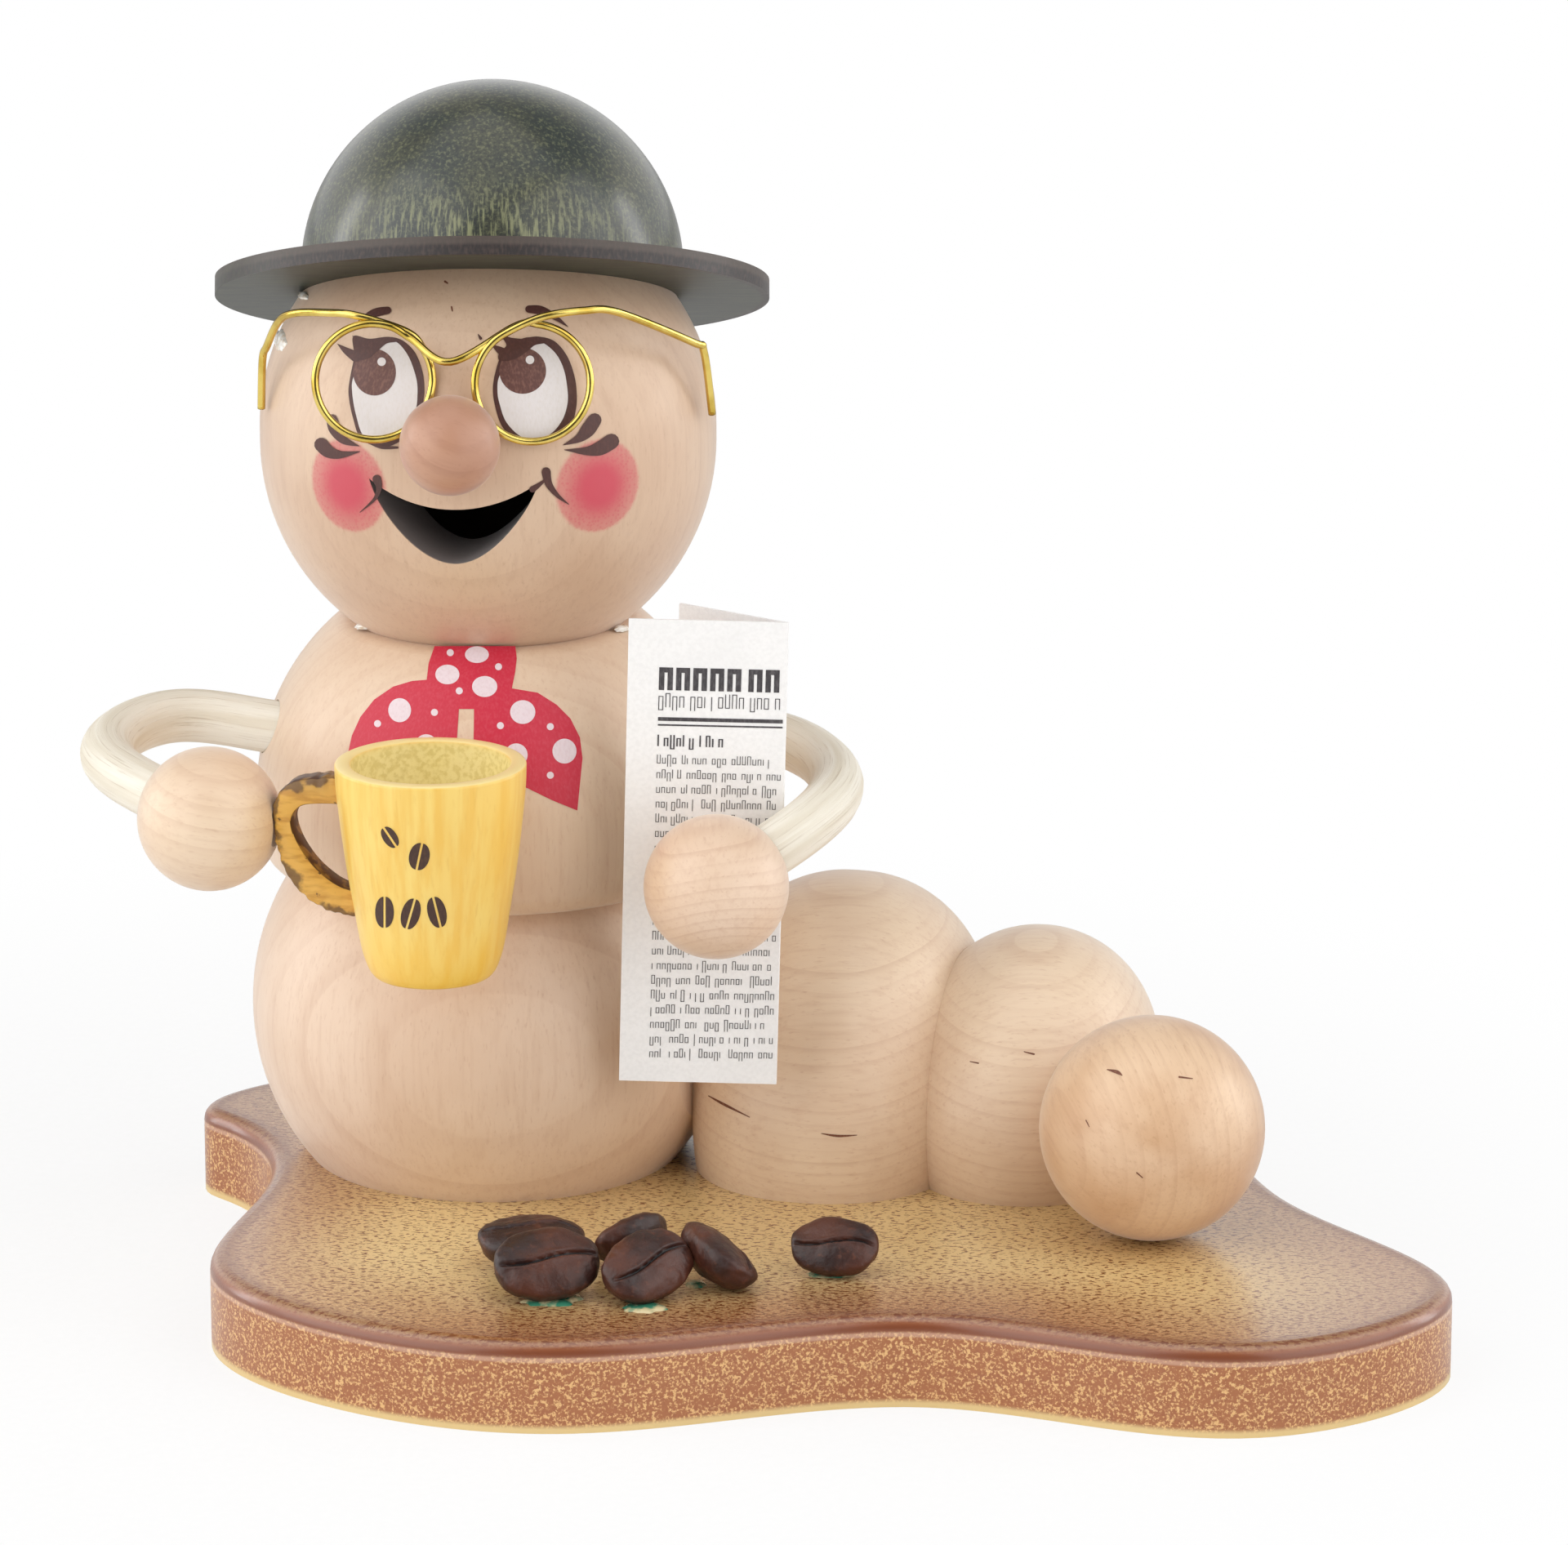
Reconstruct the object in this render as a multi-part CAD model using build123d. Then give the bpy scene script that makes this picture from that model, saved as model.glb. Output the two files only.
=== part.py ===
from build123d import *
from math import cos, radians, sin, sqrt
import os

# A turned wooden worm smoker with a bowler hat, spectacles, a mug and a folded newspaper.
# Lengths are in millimetres and angles in degrees.
# The pieces are shaped with the figure's own axis at X = Y = 0 and the base's underside at Z = 0.
# The last section moves them all, so that the middle of the whole outline is the origin.

# Plain shares and turns
plenty_share = 4
middle_share = 0.5
full_turn = 360.0
half_turn = 180.0

# Base board: the outline is walked anticlockwise from the lobe at the back left
base_thickness = 10.0
base_edge_round = 1.6
base_outline_points = [
    (-32.2, 10.0), (-26.0, -18.5), (-29.0, -41.0), (-13.5, -59.6), (10.2, -66.2),
    (47.5, -58.4), (82.0, -67.4), (103.4, -49.0), (88.5, -20.0), (80.0, 6.0),
    (46.0, 27.0), (5.0, 27.5), (-22.0, 26.0),
]

# Turned body: two balls, parted at the waist
lower_radius = 27.0
lower_foot_share = 0.774
lower_height_share = 1.2407
lower_top_round = 0.6
torso_radius = 26.1
torso_height = 28.0
torso_centre_above_waist = 7.8
torso_waist_round = 2.8
torso_neck_round = 2.5

# Joint at the waist, and the incense plate in it
spigot_radius = 15.0
spigot_height = 5.0
running_clearance = 0.1
socket_end_clearance = 0.6
plate_recess_radius = 12.0
plate_recess_depth = 7.0
plate_radius = 11.8
plate_thickness = 0.4
tack_head_radius = 2.4
tack_head_height = 1.0
tack_shank_radius = 0.6
tack_shank_length = 8.0

# Smoke way
chamber_radius = 13.0
chamber_height = 13.0
chamber_cone_height = 5.0
flue_radius = 6.0
air_hole_radius = 3.5
air_hole_above_waist = 11.0
neck_tenon_gap = 0.1
neck_tenon_height = 4.0

# Head
head_radius = 25.0
head_band = 1.5
head_foot_share = 0.612
head_bore_share = 0.48
head_bore_depth_share = 0.94

# Face: mouth, nose and spectacles are drawn for a head of the pattern's radius, and grow with the real one
face_pattern_radius = 25.0
face_turn = -7.0
mouth_half_width = 9.15
mouth_corner_above_neck = 20.4
mouth_lip_above_neck = 17.6
mouth_side_half_width = 6.5
mouth_side_above_neck = 15.6
mouth_bottom_above_neck = 11.3

# Nose
nose_share = 0.214
nose_reach = 28.3
nose_turn = -6.1
nose_lift = 9.6
nose_above_neck = 20.6
nose_peg_radius = 1.5
nose_peg_length = 10.0

# Hat, tilted back on the head's slanted top
hat_tilt = 20.5
hat_seat_share = 0.828
brim_radius = 30.4
brim_thickness = 2.0
brim_shift = 0.4
crown_radius = 21.0
crown_band = 1.0

# Arms, hands and what they hold, their levels measured from the waist
glue_gap = 0.05
arm_radius = 3.0
shoulder_hole_depth = 8.0
hand_radius = 7.75
hand_hole_depth = 5.0
mug_hand_place = (-29.05, -30.0, 12.9)
mug_arm_points = [(-25.0, -3.2, 16.0), (-34.5, -1.3, 16.6), (-41.4, -9.5, 15.6)]
mug_arm_shoulder_direction = (-1.0, 0.5, 0.02)
mug_arm_wrist_direction = (0.70, -0.71, -0.12)
paper_hand_place = (25.2, -36.0, 7.1)
paper_arm_points = [(25.5, -2.8, 15.3), (37.9, -17.0, 14.0)]
paper_arm_shoulder_direction = (1.0, 0.0, 0.0)
paper_arm_wrist_direction = (-0.80, -0.40, -0.44)

mug_place = (-5.1, -35.0, -2.8)
mug_height = 23.4
mug_rim_radius = 10.2
mug_foot_radius = 8.3
mug_foot_round = 2.0
mug_recess_depth = 5.0
mug_recess_rim_radius = 8.5
mug_recess_floor_radius = 8.2
handle_thickness = 3.0
handle_turn = 11.0
handle_outer_points = [(8.0, 22.2), (13.6, 21.4), (17.0, 17.4), (16.6, 11.6), (13.2, 7.7), (7.4, 5.8)]
handle_inner_points = [(7.4, 8.0), (11.6, 9.4), (14.6, 12.8), (15.0, 15.9), (13.4, 17.6), (8.0, 18.4)]

paper_width = 16.9
paper_height = 51.6
paper_bottom_above_waist = -17.3
paper_left = 15.2
paper_back_width = 13.6
paper_open_angle = 32.0
paper_thickness = 0.35
paper_lean = 1.5

# Spectacles: one wire with a full loop round each eye, its levels measured from the neck
wire_radius = 0.45
loop_radius = 6.1
loop_overlap = 1.0
loop_lean = 9.0
left_loop_place = (-11.1, -24.4, 32.4)
left_loop_turn = -5.0
right_loop_place = (5.8, -24.0, 32.4)
right_loop_turn = 17.0
loop_steps = 12
left_loop_start = 72.0
left_loop_end = 40.0
right_loop_start = 140.0
right_loop_end = 112.0
bridge_place = (-2.85, -25.4, 34.1)
left_temple_points = [(-23.8, -9.0, 25.2), (-23.9, -10.6, 31.9), (-21.4, -17.2, 37.5), (-16.0, -22.0, 38.7)]
right_temple_points = [(11.8, -22.4, 39.9), (20.6, -16.6, 37.1), (24.7, -11.0, 32.9), (25.3, -9.4, 24.8)]

# Tail: one turned piece on a level axis, cut flat below
tail_turn = -15.0
tail_axis_above_base = 7.2
tail_sideways = 10.9
tail_seat_share = 0.9037
tail_seat_inset = 4.54
big_bulge_radius = 23.6
big_bulge_arc = 14.4
big_bulge_band = 1.3
big_bulge_along = 17.2
arc_middle_share = 0.3
small_bulge_radius = 19.1
small_bulge_arc = 13.0
small_bulge_along = 39.7
tail_ball_radius = 12.2
tail_ball_contact = 43.4
dowel_radius = 2.0
dowel_length = 14.0

# Wood screws from below
screw_length = 25.0
screw_radius = 1.75
screw_head_radius = 3.3
screw_tip_length = 3.0
screw_sink = 0.3
screw_cross_width = 0.8
screw_cross_depth = 1.4
screw_clearance_hole_radius = 2.0
screw_pilot_gap = 0.02
body_screw_half_spacing = 9.0

# Coffee beans: place on the base, length, turn about the upright, tilt of the creased side, roll
bean_width_share = 0.68
bean_dome_share = 0.30
bean_face_share = 0.15
bean_crease_width = 0.5
bean_crease_depth = 0.9
bean_crease_sway_share = 0.04
bean_rows = [
    (5.6, -41.2, 11.4, 4.0, 18.0, 0.0),
    (7.6, -51.0, 11.4, 14.0, 48.0, 0.0),
    (15.9, -41.4, 9.2, 40.0, -52.0, 0.0),
    (18.0, -51.6, 10.4, 48.0, 38.0, 10.0),
    (26.6, -48.4, 10.2, -42.0, -35.0, 0.0),
    (37.8, -44.6, 9.4, -8.0, 46.0, 0.0),
]

# Levels and places worked out from the sizes above
lower_foot_radius = lower_radius * lower_foot_share
lower_height = lower_radius * lower_height_share
lower_centre_level = base_thickness + sqrt(lower_radius ** 2 - lower_foot_radius ** 2)
waist_level = base_thickness + lower_height
torso_centre_level = waist_level + torso_centre_above_waist
neck_level = waist_level + torso_height
head_foot_radius = head_radius * head_foot_share
head_bore_radius = head_radius * head_bore_share
head_bore_depth = head_radius * head_bore_depth_share
neck_tenon_radius = head_bore_radius - neck_tenon_gap
face_scale = head_radius / face_pattern_radius
nose_radius = head_radius * nose_share
head_lower_level = neck_level + sqrt(head_radius ** 2 - head_foot_radius ** 2)
head_upper_level = head_lower_level + head_band
hat_seat_radius = head_radius * hat_seat_share
hat_seat_distance = sqrt(head_radius ** 2 - hat_seat_radius ** 2)
spigot_top_level = waist_level + spigot_height
plate_level = spigot_top_level - plate_recess_depth
socket_top_level = spigot_top_level + socket_end_clearance
tail_axis_level = base_thickness + tail_axis_above_base
tail_seat_distance = lower_radius * tail_seat_share
tail_origin_along = tail_seat_distance - tail_seat_inset
plenty = plenty_share * lower_radius


def level_slab(low, high):
    """A wide slab between two levels, to trim turned shapes with."""
    return Pos(0, 0, (low + high) / 2) * Box(2 * plenty, 2 * plenty, high - low)


def held_place(point):
    """A point of the arms or of what they hold, its level measured from the waist."""
    return Vector(*point) + Vector(0, 0, waist_level)


def upright_cylinder(radius, low, high):
    """A cylinder on the figure's axis between two levels."""
    return Pos(0, 0, (low + high) / 2) * Cylinder(radius, high - low)


def rod(start, end, radius):
    """A round rod between two points."""
    start_point = Vector(*start)
    direction = Vector(*end) - start_point
    return extrude(Plane(origin=start_point, z_dir=direction) * Circle(radius), amount=direction.length)


# Screws

def screw_places():
    """The points on the base's underside under the four screws."""
    tail_start = tail_point(big_bulge_along)
    tail_end = tail_point(small_bulge_along)
    return [
        (-body_screw_half_spacing, 0, 0),
        (body_screw_half_spacing, 0, 0),
        (tail_start.X, tail_start.Y, 0),
        (tail_end.X, tail_end.Y, 0),
    ]


def make_screw():
    """One countersunk wood screw with a cross recess, its head at the base's underside."""
    head_height = screw_head_radius - screw_radius
    head = Pos(0, 0, screw_sink + head_height / 2) * Cone(screw_head_radius, screw_radius, head_height)
    shank = upright_cylinder(screw_radius, screw_sink + head_height, screw_sink + screw_length - screw_tip_length)
    tip_middle = screw_sink + screw_length - screw_tip_length / 2
    tip = Pos(0, 0, tip_middle) * Cone(screw_radius, 0, screw_tip_length)
    cross_level = screw_sink + screw_cross_depth / 2
    cross = Pos(0, 0, cross_level) * Box(screw_head_radius, screw_cross_width, screw_cross_depth)
    cross += Pos(0, 0, cross_level) * Box(screw_cross_width, screw_head_radius, screw_cross_depth)
    return head + shank + tip - cross


def screw_holes_in_wood():
    """The pilot holes that the screws leave in the turned pieces."""
    top = screw_sink + screw_length
    hole = upright_cylinder(screw_radius + screw_pilot_gap, 0, top + screw_pilot_gap)
    return [Pos(*place) * hole for place in screw_places()]


def make_base_screws():
    return Compound([Pos(*place) * make_screw() for place in screw_places()])


# Base

def make_base_plate():
    outline = make_face(Spline(*base_outline_points, periodic=True))
    board = extrude(outline, amount=base_thickness)
    board = fillet(board.edges().group_by(Axis.Z)[-1], radius=base_edge_round)
    clearance_hole = upright_cylinder(screw_clearance_hole_radius, 0, base_thickness)
    sink_height = screw_head_radius + glue_gap - screw_radius
    sink = Pos(0, 0, screw_sink + sink_height / 2) * Cone(screw_head_radius + glue_gap, screw_radius, sink_height)
    mouth = upright_cylinder(screw_head_radius + glue_gap, 0, screw_sink)
    for place in screw_places():
        board -= Pos(*place) * clearance_hole
        board -= Pos(*place) * sink
        board -= Pos(*place) * mouth
    return board


# Body

def make_lower_body():
    ball = Pos(0, 0, lower_centre_level) * Sphere(lower_radius)
    body = ball & level_slab(base_thickness, waist_level)
    body = fillet(body.edges().group_by(Axis.Z)[-1], radius=lower_top_round)
    body += upright_cylinder(spigot_radius, waist_level, spigot_top_level)
    body -= upright_cylinder(plate_recess_radius, plate_level, spigot_top_level)
    body -= tail_seat_cutter()
    tack_end = plate_level - tack_shank_length + plate_thickness
    body -= upright_cylinder(tack_shank_radius + screw_pilot_gap, tack_end - screw_pilot_gap, plate_level)
    for hole in screw_holes_in_wood():
        body -= hole
    return body


def tail_seat_cutter():
    """The block that takes the lower ball's side down to the flat that the tail stands against."""
    block = Pos(tail_seat_distance + plenty / 2, 0, lower_centre_level) * Box(plenty, plenty, plenty)
    return Rot(0, 0, tail_turn) * block


def make_incense_plate():
    plate = upright_cylinder(plate_radius, plate_level, plate_level + plate_thickness)
    return plate - upright_cylinder(tack_shank_radius + screw_pilot_gap, plate_level, plate_level + plate_thickness)


def make_plate_tack():
    top = plate_level + plate_thickness
    shank = upright_cylinder(tack_shank_radius, top - tack_shank_length, top)
    dome_radius = (tack_head_radius ** 2 + tack_head_height ** 2) / (2 * tack_head_height)
    dome = Pos(0, 0, top + tack_head_height - dome_radius) * Sphere(dome_radius)
    return shank + (dome & level_slab(top, top + tack_head_height))


def smoke_way():
    """The hollow from the waist socket up through the neck."""
    chamber_top = socket_top_level + chamber_height
    cone_top = chamber_top + chamber_cone_height
    way = upright_cylinder(spigot_radius + running_clearance, waist_level, socket_top_level)
    way += upright_cylinder(chamber_radius, socket_top_level, chamber_top)
    way += Pos(0, 0, (chamber_top + cone_top) / 2) * Cone(chamber_radius, flue_radius, chamber_cone_height)
    way += upright_cylinder(flue_radius, cone_top, neck_level + neck_tenon_height)
    return way


def make_torso():
    ball = Pos(0, 0, torso_centre_level) * Sphere(torso_radius)
    body = ball & level_slab(waist_level, neck_level)
    body = fillet(body.edges().group_by(Axis.Z)[0], radius=torso_waist_round)
    body = fillet(body.edges().group_by(Axis.Z)[-1], radius=torso_neck_round)
    body += upright_cylinder(neck_tenon_radius, neck_level, neck_level + neck_tenon_height)
    body -= smoke_way()
    air_level = waist_level + air_hole_above_waist
    body -= rod((0, 0, air_level), (0, plenty, air_level), air_hole_radius)
    body -= shoulder_hole(mug_arm_points, mug_arm_shoulder_direction)
    body -= shoulder_hole(paper_arm_points, paper_arm_shoulder_direction)
    return body


# Arms and hands

def unit(direction):
    return Vector(*direction).normalized()


def shoulder_hole(points, direction):
    """The blind hole that an arm's end is glued into."""
    outside = held_place(points[0]) + unit(direction) * shoulder_hole_depth
    inside = held_place(points[0]) - unit(direction) * (shoulder_hole_depth + glue_gap)
    return rod(outside, inside, arm_radius + glue_gap)


def wrist_point(hand_place, direction):
    """Where an arm's curve ends and its straight peg into the hand begins."""
    return held_place(hand_place) - unit(direction) * hand_radius


def make_arm(points, shoulder_direction, hand_place, wrist_direction):
    """Round rattan: a straight end in the shoulder, a bend, and a straight end in the hand."""
    bend_points = [held_place(point) for point in points]
    shoulder = bend_points[0]
    wrist = wrist_point(hand_place, wrist_direction)
    root = shoulder - unit(shoulder_direction) * shoulder_hole_depth
    end = wrist + unit(wrist_direction) * hand_hole_depth
    bend = Spline(*bend_points, wrist, tangents=[unit(shoulder_direction), unit(wrist_direction)])
    section = Plane(origin=shoulder, z_dir=unit(shoulder_direction)) * Circle(arm_radius)
    return rod(root, shoulder, arm_radius) + sweep(section, path=bend) + rod(wrist, end, arm_radius)


def wrist_hole(hand_place, direction):
    wrist = wrist_point(hand_place, direction)
    start = wrist - unit(direction) * arm_radius
    end = wrist + unit(direction) * (hand_hole_depth + glue_gap)
    return rod(start, end, arm_radius + glue_gap)


def make_mug_arm():
    return make_arm(mug_arm_points, mug_arm_shoulder_direction, mug_hand_place, mug_arm_wrist_direction)


def make_paper_arm():
    return make_arm(paper_arm_points, paper_arm_shoulder_direction, paper_hand_place, paper_arm_wrist_direction)


def make_mug_hand():
    hand = Pos(*held_place(mug_hand_place)) * Sphere(hand_radius)
    hand -= wrist_hole(mug_hand_place, mug_arm_wrist_direction)
    return hand - handle_plate(glue_gap)


def make_paper_hand():
    hand = Pos(*held_place(paper_hand_place)) * Sphere(hand_radius)
    return hand - wrist_hole(paper_hand_place, paper_arm_wrist_direction)


# Mug

def mug_outside():
    cup = Cone(mug_foot_radius, mug_rim_radius, mug_height, align=(Align.CENTER, Align.CENTER, Align.MIN))
    cup = fillet(cup.edges().group_by(Axis.Z)[0], radius=mug_foot_round)
    return Pos(*held_place(mug_place)) * cup


def make_mug():
    recess = Cone(mug_recess_floor_radius, mug_recess_rim_radius, mug_recess_depth)
    recess = Pos(0, 0, mug_height - mug_recess_depth / 2) * recess
    return mug_outside() - Pos(*held_place(mug_place)) * recess


def handle_plate(growth):
    """The C-shaped plate, optionally a little thicker, standing out from the mug's side."""
    outer = Spline(*handle_outer_points)
    inner = Spline(*handle_inner_points)
    lower_end = Line(handle_outer_points[-1], handle_inner_points[0])
    upper_end = Line(handle_inner_points[-1], handle_outer_points[0])
    outline = make_face([outer, lower_end, inner, upper_end])
    thickness = handle_thickness + 2 * growth
    turn = radians(half_turn - handle_turn)
    plane = Plane(origin=held_place(mug_place), x_dir=(cos(turn), sin(turn), 0), z_dir=(sin(turn), -cos(turn), 0))
    return extrude(plane * outline, amount=thickness / 2, both=True)


def make_mug_handle():
    return handle_plate(0) - mug_outside()


# Newspaper

def make_newspaper():
    """A sheet folded at its right edge, the back leaf standing open behind the front one."""
    half = paper_thickness / 2
    front_level = paper_hand_place[1] + hand_radius + glue_gap + half
    fold_x = paper_width / 2
    front = Rectangle(paper_width, paper_thickness)
    back = Pos(-paper_back_width / 2, 0) * Rectangle(paper_back_width, paper_thickness)
    back = Pos(fold_x, 0) * Rot(0, 0, -paper_open_angle) * back
    plan = front + back + Pos(fold_x, 0) * Circle(half)
    sheet = extrude(plan, amount=paper_height)
    sheet = Rot(0, paper_lean, 0) * Pos(0, 0, -paper_height / 2) * sheet
    middle_level = waist_level + paper_bottom_above_waist + paper_height / 2
    return Pos(paper_left + paper_width / 2, front_level, middle_level) * sheet


# Head

def make_head():
    low = Pos(0, 0, head_lower_level) * Sphere(head_radius)
    high = Pos(0, 0, head_upper_level) * Sphere(head_radius)
    low = low & level_slab(neck_level, head_lower_level)
    high = high & level_slab(head_upper_level, head_upper_level + head_radius)
    head = low + upright_cylinder(head_radius, head_lower_level, head_upper_level) + high
    head -= hat_plane() * Pos(0, 0, plenty / 2) * Box(plenty, plenty, plenty)
    head -= upright_cylinder(head_bore_radius, neck_level, neck_level + head_bore_depth)
    head -= mouth_cut()
    head -= Pos(*nose_centre()) * Sphere(nose_radius + glue_gap)
    head -= nose_peg(glue_gap)
    return head


def hat_plane():
    """The slanted plane of the head's top, where the brim sits."""
    back = sin(radians(hat_tilt))
    up = cos(radians(hat_tilt))
    origin = (brim_shift, hat_seat_distance * back, head_upper_level + hat_seat_distance * up)
    return Plane(origin=origin, x_dir=(1, 0, 0), z_dir=(0, back, up))


def face_place(point):
    """A point of the face's pattern, its level measured from the neck, on the real head."""
    return Vector(*point) * face_scale + Vector(0, 0, neck_level)


def mouth_cut():
    """The smile, cut straight in from the face to the head's bore."""
    left = (-mouth_half_width, mouth_corner_above_neck)
    right = (mouth_half_width, mouth_corner_above_neck)
    left_side = (-mouth_side_half_width, mouth_side_above_neck)
    right_side = (mouth_side_half_width, mouth_side_above_neck)
    lip = ThreePointArc(left, (0, mouth_lip_above_neck), right)
    chin = Spline(right, right_side, (0, mouth_bottom_above_neck), left_side, left)
    smile = scale(make_face([lip, chin]), by=face_scale)
    turn = radians(face_turn)
    plane = Plane(origin=(0, 0, neck_level), x_dir=(cos(turn), sin(turn), 0), z_dir=(sin(turn), -cos(turn), 0))
    return extrude(plane * smile, amount=plenty / 2)


def nose_direction():
    turn = radians(nose_turn)
    lift = radians(nose_lift)
    return Vector(sin(turn) * cos(lift), -cos(turn) * cos(lift), sin(lift))


def nose_centre():
    return face_place((0, 0, nose_above_neck)) + nose_direction() * nose_reach * face_scale


def nose_peg(growth):
    end = nose_centre() - nose_direction() * (nose_peg_length + growth)
    return rod(nose_centre(), end, nose_peg_radius + growth)


def make_nose():
    return Pos(*nose_centre()) * Sphere(nose_radius) + nose_peg(0)


# Hat

def make_hat_brim():
    return hat_plane() * extrude(Circle(brim_radius), amount=brim_thickness)


def make_hat_crown():
    band = extrude(Circle(crown_radius), amount=crown_band)
    dome = Pos(0, 0, crown_band) * Sphere(crown_radius)
    dome = dome & Pos(0, 0, crown_band + plenty / 2) * Box(plenty, plenty, plenty)
    return hat_plane() * Pos(0, 0, brim_thickness) * (band + dome)


# Spectacles

def loop_points(place, turn, start, end):
    """Points round one lens loop, clockwise as seen, stepping forward by a wire on the way."""
    across = Vector(cos(radians(turn)), sin(radians(turn)), 0)
    level_outward = Vector(sin(radians(turn)), -cos(radians(turn)), 0)
    up = Vector(0, 0, 1) * cos(radians(loop_lean)) - level_outward * sin(radians(loop_lean))
    outward = level_outward * cos(radians(loop_lean)) + Vector(0, 0, 1) * sin(radians(loop_lean))
    sweep_angle = full_turn + start - end
    count = round(loop_steps * sweep_angle / full_turn)
    points = []
    for step in range(count + 1):
        share = step / count
        angle = radians(start - sweep_angle * share)
        offset = outward * (loop_overlap * (share - middle_share))
        reach = (across * cos(angle) + up * sin(angle)) * loop_radius * face_scale
        points.append(face_place(place) + reach + offset)
    return points


def make_spectacles():
    points = [face_place(point) for point in left_temple_points]
    points += loop_points(left_loop_place, left_loop_turn, left_loop_start, left_loop_end)
    points.append(face_place(bridge_place))
    points += loop_points(right_loop_place, right_loop_turn, right_loop_start, right_loop_end)
    points += [face_place(point) for point in right_temple_points]
    path = Spline(*points)
    section = Plane(origin=path @ 0, z_dir=path % 0) * Circle(wire_radius)
    return sweep(section, path=path)


# Tail

def tail_direction():
    return Vector(cos(radians(tail_turn)), sin(radians(tail_turn)), 0)


def tail_side_direction():
    """Level and square to the tail's axis, away from the viewer."""
    return Vector(-sin(radians(tail_turn)), cos(radians(tail_turn)), 0)


def tail_point(along):
    """A point on the tail's own axis, measured along it."""
    start = tail_side_direction() * tail_sideways + Vector(0, 0, tail_axis_level)
    return start + tail_direction() * (tail_origin_along + along)


def bulge_radius_at(along, centre_along, radius, arc):
    return radius - arc + sqrt(arc ** 2 - (along - centre_along) ** 2)


def make_tail_segments():
    big_hub = big_bulge_radius - big_bulge_arc
    small_hub = small_bulge_radius - small_bulge_arc
    first_centre = big_bulge_along
    second_centre = big_bulge_along + big_bulge_band
    seat_along = tail_seat_distance - tail_origin_along
    seat_edge = (seat_along, bulge_radius_at(seat_along, first_centre, big_bulge_radius, big_bulge_arc))
    crease_along, crease_radius = crossing_of_arcs(
        (second_centre, big_hub, big_bulge_arc), (small_bulge_along, small_hub, small_bulge_arc))
    end_along = small_bulge_along + small_bulge_arc
    rise_along = first_centre - big_bulge_arc * arc_middle_share
    rise = (rise_along, bulge_radius_at(rise_along, first_centre, big_bulge_radius, big_bulge_arc))
    fall_along = second_centre + big_bulge_arc * arc_middle_share
    fall = (fall_along, bulge_radius_at(fall_along, second_centre, big_bulge_radius, big_bulge_arc))
    lines = [
        Line((seat_along, 0), seat_edge),
        ThreePointArc(seat_edge, rise, (first_centre, big_bulge_radius)),
        Line((first_centre, big_bulge_radius), (second_centre, big_bulge_radius)),
        ThreePointArc((second_centre, big_bulge_radius), fall, (crease_along, crease_radius)),
        ThreePointArc((crease_along, crease_radius), (small_bulge_along, small_bulge_radius), (end_along, small_hub)),
        Line((end_along, small_hub), (end_along, 0)),
        Line((end_along, 0), (seat_along, 0)),
    ]
    turned = revolve(make_face(lines), axis=Axis.X)
    origin = tail_point(0)
    turned = Pos(*origin) * Rot(0, 0, tail_turn) * turned
    turned = turned & level_slab(base_thickness, base_thickness + plenty)
    turned -= make_tail_dowel(glue_gap)
    for hole in screw_holes_in_wood():
        turned -= hole
    return turned


def crossing_of_arcs(first, second):
    """The outer crossing of two circles given as (along, hub radius, arc radius)."""
    along_gap = second[0] - first[0]
    hub_gap = second[1] - first[1]
    distance = sqrt(along_gap ** 2 + hub_gap ** 2)
    reach = (first[2] ** 2 - second[2] ** 2 + distance ** 2) / (2 * distance)
    height = sqrt(first[2] ** 2 - reach ** 2)
    along = first[0] + (reach * along_gap - height * hub_gap) / distance
    radius = first[1] + (reach * hub_gap + height * along_gap) / distance
    return along, radius


def tail_ball_centre():
    """The ball lies on the base and touches the small bulge on the viewer's side."""
    reach = small_bulge_arc + tail_ball_radius + glue_gap
    along = small_bulge_along + reach * cos(radians(tail_ball_contact))
    from_axis = small_bulge_radius - small_bulge_arc + reach * sin(radians(tail_ball_contact))
    rise = base_thickness + tail_ball_radius - tail_axis_level
    sideways = sqrt(from_axis ** 2 - rise ** 2)
    return tail_point(along) - tail_side_direction() * sideways + Vector(0, 0, rise)


def bulge_hub_point():
    """The point of the small bulge's hub circle that faces the ball."""
    hub_radius = small_bulge_radius - small_bulge_arc
    middle = tail_point(small_bulge_along)
    outward = tail_ball_centre() - middle
    outward -= tail_direction() * outward.dot(tail_direction())
    return middle + outward.normalized() * hub_radius


def make_tail_dowel(growth=0):
    direction = (bulge_hub_point() - tail_ball_centre()).normalized()
    middle = tail_ball_centre() + direction * tail_ball_radius
    half = direction * (dowel_length / 2 + growth)
    return rod(middle - half, middle + half, dowel_radius + growth)


def make_tail_ball():
    return Pos(*tail_ball_centre()) * Sphere(tail_ball_radius) - make_tail_dowel(glue_gap)


# Coffee beans

def bean_solid(length):
    """A bean with its creased, flatter side up and its dome below."""
    half = length / 2
    width = half * bean_width_share
    above = Box(plenty, plenty, plenty, align=(Align.CENTER, Align.CENTER, Align.MIN))
    face_side = scale(Sphere(1), by=(half, width, length * bean_face_share)) & above
    dome_side = scale(Sphere(1), by=(half, width, length * bean_dome_share)) - above
    bean = face_side + dome_side
    sway = length * bean_crease_sway_share
    crease_line = Spline((-length, 0), (-half / 2, -sway), (half / 2, sway), (length, 0))
    crease = trace(crease_line, line_width=bean_crease_width)
    floor_level = length * bean_face_share - bean_crease_depth
    return bean - Pos(0, 0, floor_level) * extrude(crease, amount=length)


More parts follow.
